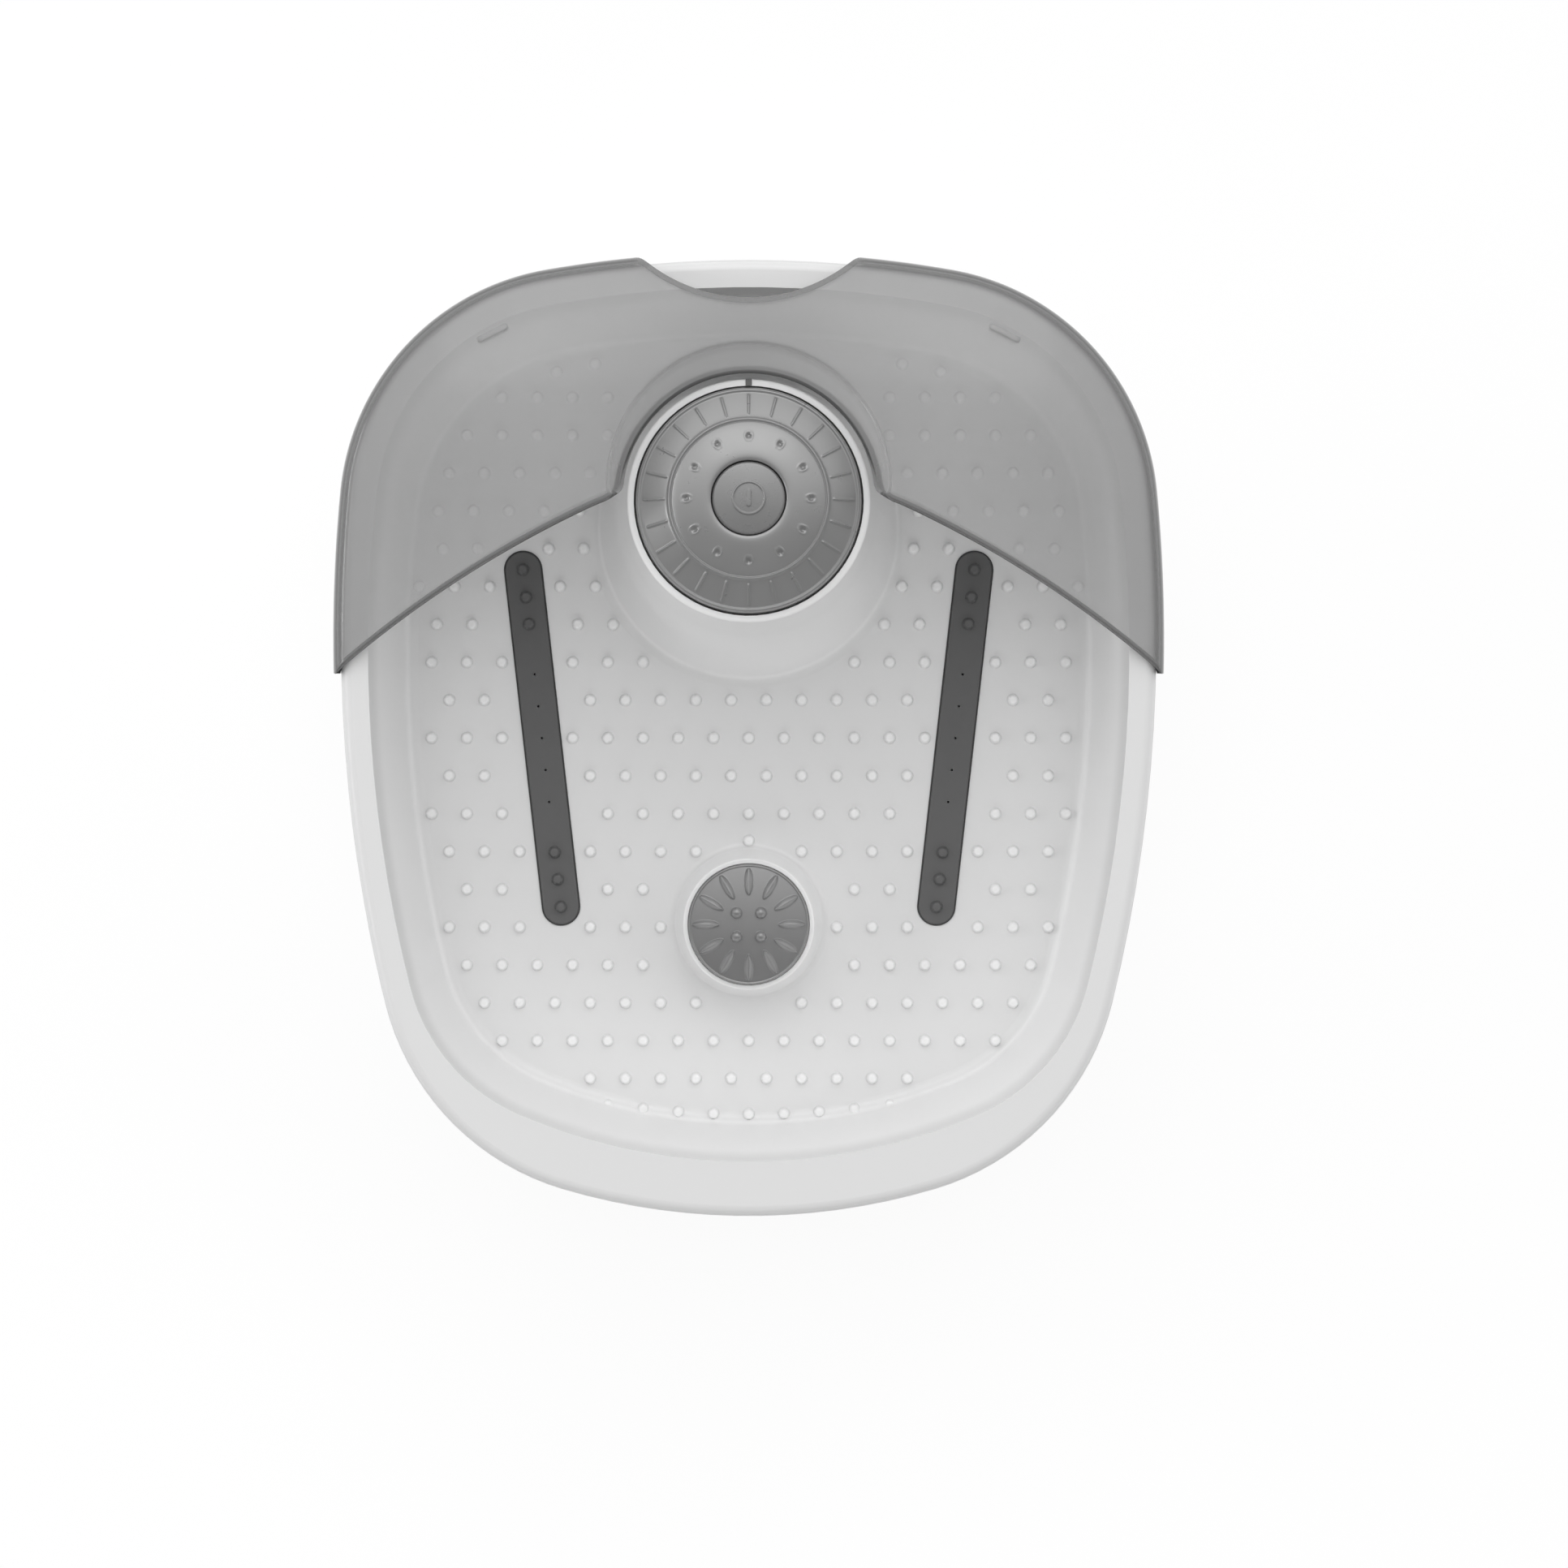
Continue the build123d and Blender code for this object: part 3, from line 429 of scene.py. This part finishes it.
def arc_points(centre, radius, start_deg, end_deg, count):
    """Points on a circle, angles measured from +X towards +Y."""
    turn = np.radians(np.linspace(start_deg, end_deg, count))
    return np.stack([centre[0] + radius * np.cos(turn), centre[1] + radius * np.sin(turn)], 1)


def rounded_corner(before, corner, after, radius, count=24):
    """A smooth bend from before to after that stays within radius of the corner between them."""
    before, corner, after = (np.array(p, float) for p in (before, corner, after))
    start = corner + (before - corner) * min(1, radius / np.hypot(*(before - corner)))
    end = corner + (after - corner) * min(1, radius / np.hypot(*(after - corner)))
    t = np.linspace(0, 1, count)[:, None]
    return (1 - t) ** 2 * start + 2 * t * (1 - t) * corner + t**2 * end


def guard_outer_half():
    """Right half of the guard's outer edge in plan, front corner to rear centre.

    Also each point's skirt depth below the edge, and its place from 0 to 1 along the edge."""
    outline = arc_chain(GUARD_GAP, 1.0)
    corner = np.argmax(outline[:, 1] < FRONT_CORNER[1])
    horn = np.argmax(np.hypot(outline[:, 0], outline[:, 1] - CUTOUT_Y) > CUTOUT_R)
    side = outline[horn + 2:corner][::-1]
    start = math.degrees(math.atan2(outline[horn, 1] - CUTOUT_Y, outline[horn, 0]))
    cutout = arc_points((0, CUTOUT_Y), CUTOUT_R, start - 3, -90, 60)
    bend = rounded_corner(side[-1], outline[horn], cutout[0], CUTOUT_BEND_R, 10)
    plan = np.vstack([side, bend, cutout])
    length = np.concatenate([[0], np.cumsum(np.hypot(*np.diff(plan, axis=0).T))])
    turn = length[len(side) + len(bend) // 2]
    change = EDGE_LIP - SKIRT_TOP_Z + SKIRT_LOW_Z
    depth = SKIRT_TOP_Z - SKIRT_LOW_Z + change * ramp(length, turn - 4, turn + 4)
    return plan, depth, length / length[-1]


def guard_inner_half():
    """Right half of the guard's free edge in plan, front corner to the rear of the collar."""
    corner, tip = np.array(FRONT_CORNER), np.array(FRONT_TIP)
    chord = tip - corner
    inward = np.array([-chord[1], chord[0]]) / np.hypot(*chord)
    centre = (corner + tip) / 2 + inward * math.sqrt(FRONT_R**2 - (chord @ chord) / 4)
    start, end = (math.degrees(math.atan2(*(p - centre)[::-1])) for p in (corner, tip))
    front = arc_points(centre, FRONT_R, start, end, 90)
    foot = arc_points((0, COLLAR_FOOT[0]), COLLAR_FOOT[1], COLLAR_START_DEG, 90, 110)
    bend = rounded_corner(front[-1], COLLAR_CORNER, foot[0], COLLAR_BEND_R)
    return np.vstack([front, bend, foot])


def guard_sheet_half():
    """Rows of points over the right half of the guard's outer face, from its skirt to its free edge.

    Also how much painted shade each point takes near the guard's edges, and how much painted light it takes
    on the collar behind the dial."""
    plan, depth, place = guard_outer_half()
    columns = np.unique(np.concatenate([np.linspace(0, 1, 260), np.linspace(0, 0.03, 20)]))
    outer = np.stack([np.interp(columns, place, plan[:, i]) for i in (0, 1)], 1)
    depth = np.interp(columns, place, depth)
    free = along_length(guard_inner_half(), columns)
    outline = arc_chain(GUARD_GAP, 3.0)

    # The crease stands off the free edge: up the collar's slope behind the dial, and square to the edge
    # along the front.
    from_dial = free - (0, COLLAR_FOOT[0])
    angle = np.arctan2(from_dial[:, 1], from_dial[:, 0])
    offset = COLLAR_TOP[0] - COLLAR_FOOT[0]
    top_r = offset * np.sin(angle) + np.sqrt(COLLAR_TOP[1] ** 2 - (offset * np.cos(angle)) ** 2)
    slope = top_r - np.hypot(*from_dial.T)
    radial = np.stack([np.cos(angle), np.sin(angle)], 1)
    step = np.gradient(free, axis=0)
    square = np.stack([-step[:, 1], step[:, 0]], 1) / np.hypot(*step.T)[:, None]
    square *= np.sign(np.sum(square * (outer - free), 1, keepdims=True))
    near_corner = np.clip(np.hypot(*(outer - free).T) / 6, 0, 1)
    collar = ramp(slope, 0.0, 5.0)
    stand_off = collar[:, None] * radial * slope[:, None] + (1 - collar[:, None]) * square * EDGE_WIDTH
    crease = free + stand_off * near_corner[:, None]
    crease_z = guard_height(inset_of(crease, outline))
    rise = np.clip(slope / (top_r - COLLAR_FOOT[1]), 0, 1)
    free_z = crease_z - EDGE_DROP * near_corner * (1 - collar) - (crease_z - COLLAR_FOOT_Z) * collar * rise

    # Each row also takes its share of painted edge shade and of painted collar light.
    rows, edge_shade_share, collar_light = [], [], []
    outer_z = guard_height(inset_of(outer, outline))
    for drop in SKIRT_ROWS:
        rows.append(np.column_stack([outer, outer_z - drop * depth]))
        edge_shade_share.append(np.ones(len(columns)))
        collar_light.append(np.zeros(len(columns)))
    skirted = ramp(depth, EDGE_LIP + 1, SKIRT_TOP_Z - SKIRT_LOW_Z)
    span = np.hypot(*(outer - crease).T)
    along = (crease - outer) / np.maximum(span, 1e-6)[:, None]
    shoulder = np.array(SHOULDER_ROWS)[:, None] * np.clip(span / 14, 0, 1)
    spread = shoulder[-1] + np.linspace(0, 1, TOP_ROWS + 1)[1:, None] * (span - shoulder[-1])
    for distance in np.vstack([shoulder, spread]):
        point = outer + along * distance[:, None]
        rows.append(np.column_stack([point, guard_height(inset_of(point, outline))]))
        # Painted shade on the skirt, on the first millimetres of the shoulder and along the front crease.
        front_crease_shade = 0.5 * (1 - ramp(span - distance, 0.0, 1.6)) * (1 - collar)
        edge_shade_share.append(np.maximum((1 - ramp(distance, 2.2, 3.3)) * (0.15 + 0.85 * skirted), front_crease_shade))
        collar_light.append(np.zeros(len(columns)))
    for f in np.linspace(0, 1, EDGE_ROWS + 1)[1:]:
        point = crease + (free - crease) * f
        bulge = 1 - math.cos(f * math.pi / 2)
        straight = max(f, CREASE_SHARE) - CREASE_SHARE
        rounded = min(f, CREASE_SHARE) ** 2 / CREASE_SHARE / 2
        eased = (straight + rounded) / (1 - CREASE_SHARE / 2)
        drop = (eased * collar + bulge * (1 - collar)) * (crease_z - free_z)
        rows.append(np.column_stack([point, crease_z - drop]))
        # Painted shade darkens the free edge along the front and at the foot of the collar; painted light
        # pales the collar.
        shade_along_front = (0.5 + 0.5 * f) * (1 - collar)
        shade_at_collar = (0.04 + 0.9 * ramp(f * slope, slope - 1.7, slope - 1.0)) * collar
        edge_shade_share.append(shade_along_front + shade_at_collar)
        collar_light.append(collar * ramp(f, 0.0, 0.4))
    return np.array(rows), np.array(edge_shade_share), np.array(collar_light)


def make_guard():
    """The guard's shell: its outer face mirrored to the left, then thickened inward by its wall."""
    half, edge_shade_share, collar_light = guard_sheet_half()
    mirrored = half[:, -2::-1] * (-1, 1, 1)
    grid = np.concatenate([half, mirrored], 1)
    high, wide = grid.shape[:2]
    corners = [(r * wide + c, r * wide + c + 1, (r + 1) * wide + c + 1, (r + 1) * wide + c)
               for r in range(high - 1) for c in range(wide - 1)]
    guard = add_mesh("guard_shell", grid.reshape(-1, 3) * MM, corners)
    if guard.data.polygons[FACE_ROW_ON_TOP * wide].normal.z < 0:
        guard.data.flip_normals()
    # The painted edge shade and the painted collar light go onto the mesh as attributes that the shader
    # reads.
    for layer_name, half_layer in (("edge_shade", edge_shade_share), ("collar", collar_light)):
        layer = guard.data.attributes.new(layer_name, "FLOAT", "POINT")
        layer.data.foreach_set("value", np.concatenate([half_layer, half_layer[:, -2::-1]], 1).ravel())
    wall = guard.modifiers.new("wall", "SOLIDIFY")
    wall.thickness = GUARD_T
    wall.offset = -1
    wall.use_even_offset = False
    rim = guard.modifiers.new("rim", "BEVEL")
    rim.width = BEVEL_WIDTH
    rim.segments = 2
    rim.limit_method = "ANGLE"
    rim.angle_limit = math.radians(55)
    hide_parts("splash_guard")
    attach(guard, "guard")
    return guard


# ---------------------------------------------------------------- guard clips
CLIP_AT = (102.0, 160.3)
CLIP_TURN = 27.0
CLIP_LENGTH = 13.5
CLIP_WIDTH = 2.6
CLIP_POINTS = 40
# Rings of the clip from its foot inside the dome to its top: (share of the outline, height over the dome).
CLIP_RINGS = ((1.0, -5.0), (1.0, 0.25), (0.93, 0.5), (0.75, 0.6), (0.3, 0.62))


def make_clip(side):
    """The snap tab that holds the guard to the rim: a rounded bar that stands just proud of the dome."""
    along = np.array([math.cos(math.radians(CLIP_TURN)), -side * math.sin(math.radians(CLIP_TURN))])
    across = np.array([-along[1], along[0]])
    outline = arc_chain(GUARD_GAP, 3.0)
    ring = []
    for k in range(CLIP_POINTS):
        turn = 2 * math.pi * k / CLIP_POINTS
        end = math.copysign((CLIP_LENGTH - CLIP_WIDTH) / 2, math.cos(turn))
        ring.append(end * along + CLIP_WIDTH / 2 * (math.cos(turn) * along + math.sin(turn) * across))
    ring = np.array(ring)
    centre = np.array([side * CLIP_AT[0], CLIP_AT[1]])
    points = []
    for grow, lift in CLIP_RINGS:
        place = centre + ring * grow
        level = guard_height(inset_of(np.abs(place), outline))
        points.append(np.column_stack([place, level + lift]))
    points = np.vstack(points)
    faces = ring_faces(len(CLIP_RINGS), CLIP_POINTS, closed=False)
    faces.append(tuple(range(CLIP_POINTS - 1, -1, -1)))
    faces.append(tuple(range(len(points) - CLIP_POINTS, len(points))))
    clip = add_mesh("guard_clip_right" if side > 0 else "guard_clip_left", points * MM, faces)
    outward(clip)
    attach(clip, "guard")
    return clip


# ---------------------------------------------------------------- materials
def grey(level):
    """A neutral colour."""
    return (level, level, level)


def new_material(name):
    material = bpy.data.materials.new(name)
    material.use_nodes = True
    shader = material.node_tree.nodes["Principled BSDF"]
    return material, material.node_tree, shader


def noise(tree, scale, detail=3.0, stretch=(1, 1, 1)):
    """Noise over the object's own coordinates, which are metres; scale is features per metre."""
    place = tree.nodes.new("ShaderNodeTexCoord")
    mapping = tree.nodes.new("ShaderNodeMapping")
    mapping.inputs["Scale"].default_value = stretch
    texture = tree.nodes.new("ShaderNodeTexNoise")
    texture.inputs["Scale"].default_value = scale
    texture.inputs["Detail"].default_value = detail
    tree.links.new(place.outputs["Object"], mapping.inputs["Vector"])
    tree.links.new(mapping.outputs["Vector"], texture.inputs["Vector"])
    return texture.outputs["Fac"]


def spread(tree, value, low, high):
    """Maps a noise value, which mostly lies between 0.25 and 0.75, onto low to high."""
    node = tree.nodes.new("ShaderNodeMapRange")
    node.inputs["From Min"].default_value = 0.25
    node.inputs["From Max"].default_value = 0.75
    node.inputs["To Min"].default_value = low
    node.inputs["To Max"].default_value = high
    tree.links.new(value, node.inputs["Value"])
    return node.outputs["Result"]


def mixed(tree, factor, colour_a, colour_b):
    """colour_a where the factor is 0, colour_b where it is 1; each is a colour or another node's output."""
    node = tree.nodes.new("ShaderNodeMix")
    node.data_type = "RGBA"
    tree.links.new(factor, node.inputs["Factor"])
    for colour, socket in ((colour_a, node.inputs[6]), (colour_b, node.inputs[7])):
        if isinstance(colour, tuple):
            socket.default_value = (*colour, 1)
        else:
            tree.links.new(colour, socket)
    return node.outputs[2]


def bumped(tree, shader, height, distance):
    """Feeds a 0 to 1 height, distance metres deep, to the shader as a bump."""
    node = tree.nodes.new("ShaderNodeBump")
    node.inputs["Distance"].default_value = distance
    node.inputs["Strength"].default_value = 1.0
    tree.links.new(height, node.inputs["Height"])
    tree.links.new(node.outputs["Normal"], shader.inputs["Normal"])


def moulded(name, colour, rough, mottle=0.02, grain=2500, depth=0.012, metallic=0.0, coat=0.0,
            stretch=(1, 1, 1)):
    """Moulded plastic, rubber or metal: clouded colour, uneven gloss and a fine surface grain.

    depth is the grain's height in millimetres and mottle the change of colour across it."""
    material, tree, shader = new_material(name)
    cloud = noise(tree, 22, 4, stretch)
    darker = tuple(c * (1 - mottle) for c in colour)
    lighter = tuple(min(1, c * (1 + mottle)) for c in colour)
    tree.links.new(mixed(tree, cloud, darker, lighter), shader.inputs["Base Color"])
    gloss = spread(tree, noise(tree, 140, 5, stretch), rough * 0.88, rough * 1.14)
    tree.links.new(gloss, shader.inputs["Roughness"])
    bumped(tree, shader, noise(tree, grain, 2, stretch), depth * MM)
    shader.inputs["Metallic"].default_value = metallic
    shader.inputs["Coat Weight"].default_value = coat
    shader.inputs["Coat Roughness"].default_value = 0.12
    return material


def smoked_with_painted_light_and_shade(name, colour, collar_light_colour, edge_shade_colour, clear, edge_shade_clear):
    """Tinted see-through plastic. Painted light makes its collar paler, and painted shade makes its edges
    darker and less clear.
    """
    material, tree, shader = new_material(name)
    edge_shade_share = tree.nodes.new("ShaderNodeAttribute")
    edge_shade_share.attribute_name = "edge_shade"
    collar_light = tree.nodes.new("ShaderNodeAttribute")
    collar_light.attribute_name = "collar"
    darker = tuple(c * 0.985 for c in colour)
    lighter = tuple(c * 1.015 for c in colour)
    cloud = mixed(tree, noise(tree, 18, 3), darker, lighter)
    # Painted light pales the collar, and painted shade darkens the edges and makes them less clear.
    sheet = mixed(tree, collar_light.outputs["Fac"], cloud, collar_light_colour)
    tree.links.new(mixed(tree, edge_shade_share.outputs["Fac"], sheet, edge_shade_colour), shader.inputs["Base Color"])
    opacity = tree.nodes.new("ShaderNodeMapRange")
    opacity.inputs["To Min"].default_value = 1 - clear
    opacity.inputs["To Max"].default_value = 1 - edge_shade_clear
    tree.links.new(edge_shade_share.outputs["Fac"], opacity.inputs["Value"])
    tree.links.new(opacity.outputs["Result"], shader.inputs["Alpha"])
    tree.links.new(spread(tree, noise(tree, 90, 4), 0.17, 0.23), shader.inputs["Roughness"])
    bumped(tree, shader, noise(tree, 60, 2), 0.02 * MM)
    shader.inputs["Specular IOR Level"].default_value = 0.55
    shader.inputs["Coat Weight"].default_value = 1.0
    shader.inputs["Coat Roughness"].default_value = 0.1
    return material


def above_level(tree, value, low, high):
    """0 where a length is under low, 1 where it is over high, and smooth between; both in millimetres."""
    step = tree.nodes.new("ShaderNodeMapRange")
    step.interpolation_type = "SMOOTHSTEP"
    step.inputs["From Min"].default_value = low * MM
    step.inputs["From Max"].default_value = high * MM
    tree.links.new(value, step.inputs["Value"])
    return step.outputs["Result"]


# Where the painted shade on the tub's white changes: over its floor, up to its rim, away from the dial, and
# outward.
FLOOR_FADE = (TUB_FLOOR_Z + 0.6, TUB_FLOOR_Z + 2.4)
RIM_FADE = (118, 145)
DIAL_FADE = (52, 62)
OUTSIDE_FADE = (140, 150)


def basin_plastic_with_painted_shade(name, shaded_floor_level, lit_shell_level, shaded_rim_level, shaded_outside_level):
    """The tub's white plastic.

    Its colour carries painted shade: it is darker on the floor between the nubs, on the rim and on the outer
    wall than on the walls and nubs, but not round the dial."""
    material = moulded(name, grey(lit_shell_level), 0.32, mottle=0.004, grain=900, depth=0.0005, coat=0.1)
    tree = material.node_tree
    shader = tree.nodes["Principled BSDF"]
    shell = shader.inputs["Base Color"].links[0].from_socket
    place = tree.nodes.new("ShaderNodeTexCoord")
    split = tree.nodes.new("ShaderNodeSeparateXYZ")
    tree.links.new(place.outputs["Object"], split.inputs["Vector"])
    off_floor = above_level(tree, split.outputs["Z"], *FLOOR_FADE)
    near_rim = above_level(tree, split.outputs["Z"], *RIM_FADE)
    from_dial = tree.nodes.new("ShaderNodeVectorMath")
    from_dial.operation = "DISTANCE"
    from_dial.inputs[1].default_value = (DIAL_X, DIAL_Y, DIAL_LOW.z)
    tree.links.new(place.outputs["Object"], from_dial.inputs[0])
    off_dial = above_level(tree, from_dial.outputs["Value"], *DIAL_FADE)
    rim = tree.nodes.new("ShaderNodeMath")
    rim.operation = "MULTIPLY"
    tree.links.new(near_rim, rim.inputs[0])
    tree.links.new(off_dial, rim.inputs[1])

    # A point of the outer wall lies far from the tub's middle along its own normal; heights don't count.
    flat_place = tree.nodes.new("ShaderNodeVectorMath")
    flat_place.operation = "MULTIPLY"
    flat_place.inputs[1].default_value = (1, 1, 0)
    tree.links.new(place.outputs["Object"], flat_place.inputs[0])
    facing = tree.nodes.new("ShaderNodeVectorMath")
    facing.operation = "DOT_PRODUCT"
    tree.links.new(flat_place.outputs["Vector"], facing.inputs[0])
    tree.links.new(place.outputs["Normal"], facing.inputs[1])
    outside = above_level(tree, facing.outputs["Value"], *OUTSIDE_FADE)

    # Painted shade: the floor, the rim away from the dial and the outer wall take darker greys than the walls
    # and nubs.
    inside = mixed(tree, off_floor, grey(shaded_floor_level), shell)
    body = mixed(tree, rim.outputs["Value"], inside, grey(shaded_rim_level))
    tree.links.new(mixed(tree, outside, body, grey(shaded_outside_level)), shader.inputs["Base Color"])
    return material


def wound_copper(name):
    """Varnished copper wire in fine turns, with painted shade darkening the grooves between them."""
    material, tree, shader = new_material(name)
    place = tree.nodes.new("ShaderNodeTexCoord")
    turns = tree.nodes.new("ShaderNodeTexWave")
    turns.bands_direction = "Z"
    turns.inputs["Scale"].default_value = 320
    turns.inputs["Distortion"].default_value = 0.6
    tree.links.new(place.outputs["Object"], turns.inputs["Vector"])
    # Painted shade: the colour darkens where the grooves between the turns lie.
    colour = mixed(tree, turns.outputs["Fac"], (0.32, 0.10, 0.04), (0.72, 0.30, 0.12))
    tree.links.new(colour, shader.inputs["Base Color"])
    tree.links.new(spread(tree, noise(tree, 300), 0.25, 0.4), shader.inputs["Roughness"])
    bumped(tree, shader, turns.outputs["Fac"], 0.2 * MM)
    shader.inputs["Metallic"].default_value = 1.0
    return material


def crumpled_foil(name):
    """Aluminium foil with small creases."""
    material, tree, shader = new_material(name)
    cells = tree.nodes.new("ShaderNodeTexVoronoi")
    cells.feature = "DISTANCE_TO_EDGE"
    cells.inputs["Scale"].default_value = 90
    place = tree.nodes.new("ShaderNodeTexCoord")
    tree.links.new(place.outputs["Object"], cells.inputs["Vector"])
    colour = mixed(tree, noise(tree, 60), (0.70, 0.71, 0.72), (0.86, 0.86, 0.85))
    tree.links.new(colour, shader.inputs["Base Color"])
    tree.links.new(spread(tree, noise(tree, 200), 0.2, 0.4), shader.inputs["Roughness"])
    bumped(tree, shader, cells.outputs["Distance"], 0.5 * MM)
    shader.inputs["Metallic"].default_value = 1.0
    return material


def circuit_board(name):
    """Green board with paler tracks."""
    material, tree, shader = new_material(name)
    place = tree.nodes.new("ShaderNodeTexCoord")
    tracks = tree.nodes.new("ShaderNodeTexBrick")
    tracks.inputs["Scale"].default_value = 160
    tracks.inputs["Mortar Size"].default_value = 0.06
    tracks.inputs["Color1"].default_value = (0.02, 0.16, 0.07, 1)
    tracks.inputs["Color2"].default_value = (0.02, 0.19, 0.08, 1)
    tracks.inputs["Mortar"].default_value = (0.05, 0.30, 0.13, 1)
    tree.links.new(place.outputs["Object"], tracks.inputs["Vector"])
    tree.links.new(tracks.outputs["Color"], shader.inputs["Base Color"])
    tree.links.new(spread(tree, noise(tree, 200), 0.3, 0.42), shader.inputs["Roughness"])
    bumped(tree, shader, tracks.outputs["Fac"], 0.05 * MM)
    return material


def silicone_hose(name):
    """Milky, slightly see-through hose."""
    material = moulded(name, (0.78, 0.80, 0.80), 0.22, mottle=0.03, grain=900, depth=0.02)
    shader = material.node_tree.nodes["Principled BSDF"]
    shader.inputs["Subsurface Weight"].default_value = 0.4
    shader.inputs["Subsurface Radius"].default_value = (0.004, 0.004, 0.004)
    shader.inputs["Subsurface Scale"].default_value = 0.5
    return material


FINISHES = {
    # The tub's white: painted shade darkens its floor, its rim and its outer wall.
    "white_shell": basin_plastic_with_painted_shade("white_shell_with_painted_shade", 0.80, 0.94, 0.76, 0.68),
    "white_base": moulded("white_base_finish", grey(0.66), 0.38, mottle=0.01, grain=1800, depth=0.014),
    "foot_rubber": moulded("foot_rubber_finish", grey(0.035), 0.72, mottle=0.12, grain=2600, depth=0.05),
    "steel": moulded("steel_finish", (0.62, 0.62, 0.63), 0.28, mottle=0.06, metallic=1.0, stretch=(1, 1, 12)),
    "seal_rubber": moulded("seal_rubber_finish", grey(0.05), 0.58, mottle=0.10, depth=0.03),
    "strip_grey": moulded("strip_grey_finish", grey(0.115), 0.52, mottle=0.05, grain=2200, depth=0.03),
    "clear_hose": silicone_hose("clear_hose_finish"),
    "black_plastic": moulded("black_plastic_finish", grey(0.03), 0.42, mottle=0.10, depth=0.03),
    "board_green": circuit_board("board_green_finish"),
    "marker_grey": moulded("marker_grey_finish", grey(0.14), 0.45, mottle=0.04),
    "zinc_can": moulded("zinc_can_finish", (0.56, 0.57, 0.58), 0.36, mottle=0.10, grain=500,
                        depth=0.02, metallic=1.0),
    "heater_foil": crumpled_foil("heater_foil_finish"),
    # The wound copper: painted shade darkens the grooves between its turns.
    "coil_copper": wound_copper("coil_copper_with_painted_shade"),
    "lead_sleeve": moulded("lead_sleeve_finish", (0.72, 0.70, 0.64), 0.55, mottle=0.05, grain=1200,
                           depth=0.08),
    # The smoked guard: painted light pales its collar and painted shade darkens its edges.
    "smoke_guard": smoked_with_painted_light_and_shade("smoke_guard_with_painted_light_and_shade", grey(0.40), grey(0.76), grey(0.06), 0.59, 0.06),
    "dial_grey": moulded("dial_grey_finish", grey(0.34), 0.30, mottle=0.012, grain=3000,
                         depth=0.0008, metallic=0.40),
    "natural_plastic": moulded("natural_plastic_finish", (0.74, 0.72, 0.66), 0.45, mottle=0.03, depth=0.02),
    "button_grey": moulded("button_grey_finish", grey(0.29), 0.28, mottle=0.012, grain=3000,
                           depth=0.0008, metallic=0.40),
    "disc_grey": moulded("disc_grey_finish", grey(0.31), 0.24, mottle=0.015, grain=2600,
                         depth=0.0008, metallic=0.42),
}


def finish_nodes():
    """Puts the finishes on the pieces that come from the frame."""
    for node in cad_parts.values():
        for slot in node.material_slots:
            slot.material = FINISHES[slot.material.name]


def finish_piece(piece, slot):
    piece.data.materials.append(FINISHES[slot])


# ---------------------------------------------------------------- floor
STAGE_HALF = 6.0
STAGE_GLOW = 0.87


def make_floor():
    """A wide pale floor that glows a little, so that it stays even and nearly white."""
    sides = ((-1, -1), (1, -1), (1, 1), (-1, 1))
    corners = [(x * STAGE_HALF, y * STAGE_HALF, 0) for x, y in sides]
    floor = add_mesh("floor", corners, [(0, 1, 2, 3)], smooth=False)
    material, tree, shader = new_material("pale_floor")
    tree.links.new(mixed(tree, noise(tree, 3), grey(0.11), grey(0.13)), shader.inputs["Base Color"])
    shader.inputs["Roughness"].default_value = 0.9
    shader.inputs["Emission Color"].default_value = (1, 1, 1, 1)
    shader.inputs["Emission Strength"].default_value = STAGE_GLOW
    floor.data.materials.append(material)


# ---------------------------------------------------------------- the scene
make_floor()
finish_nodes()
finish_piece(make_dial(), "dial_grey")
finish_piece(make_button(), "button_grey")
finish_piece(make_disc(), "disc_grey")
finish_piece(make_guard(), "smoke_guard")
for side_sign in (-1, 1):
    finish_piece(make_clip(side_sign), "smoke_guard")
    finish_piece(make_strip_seal(side_sign), "seal_rubber")
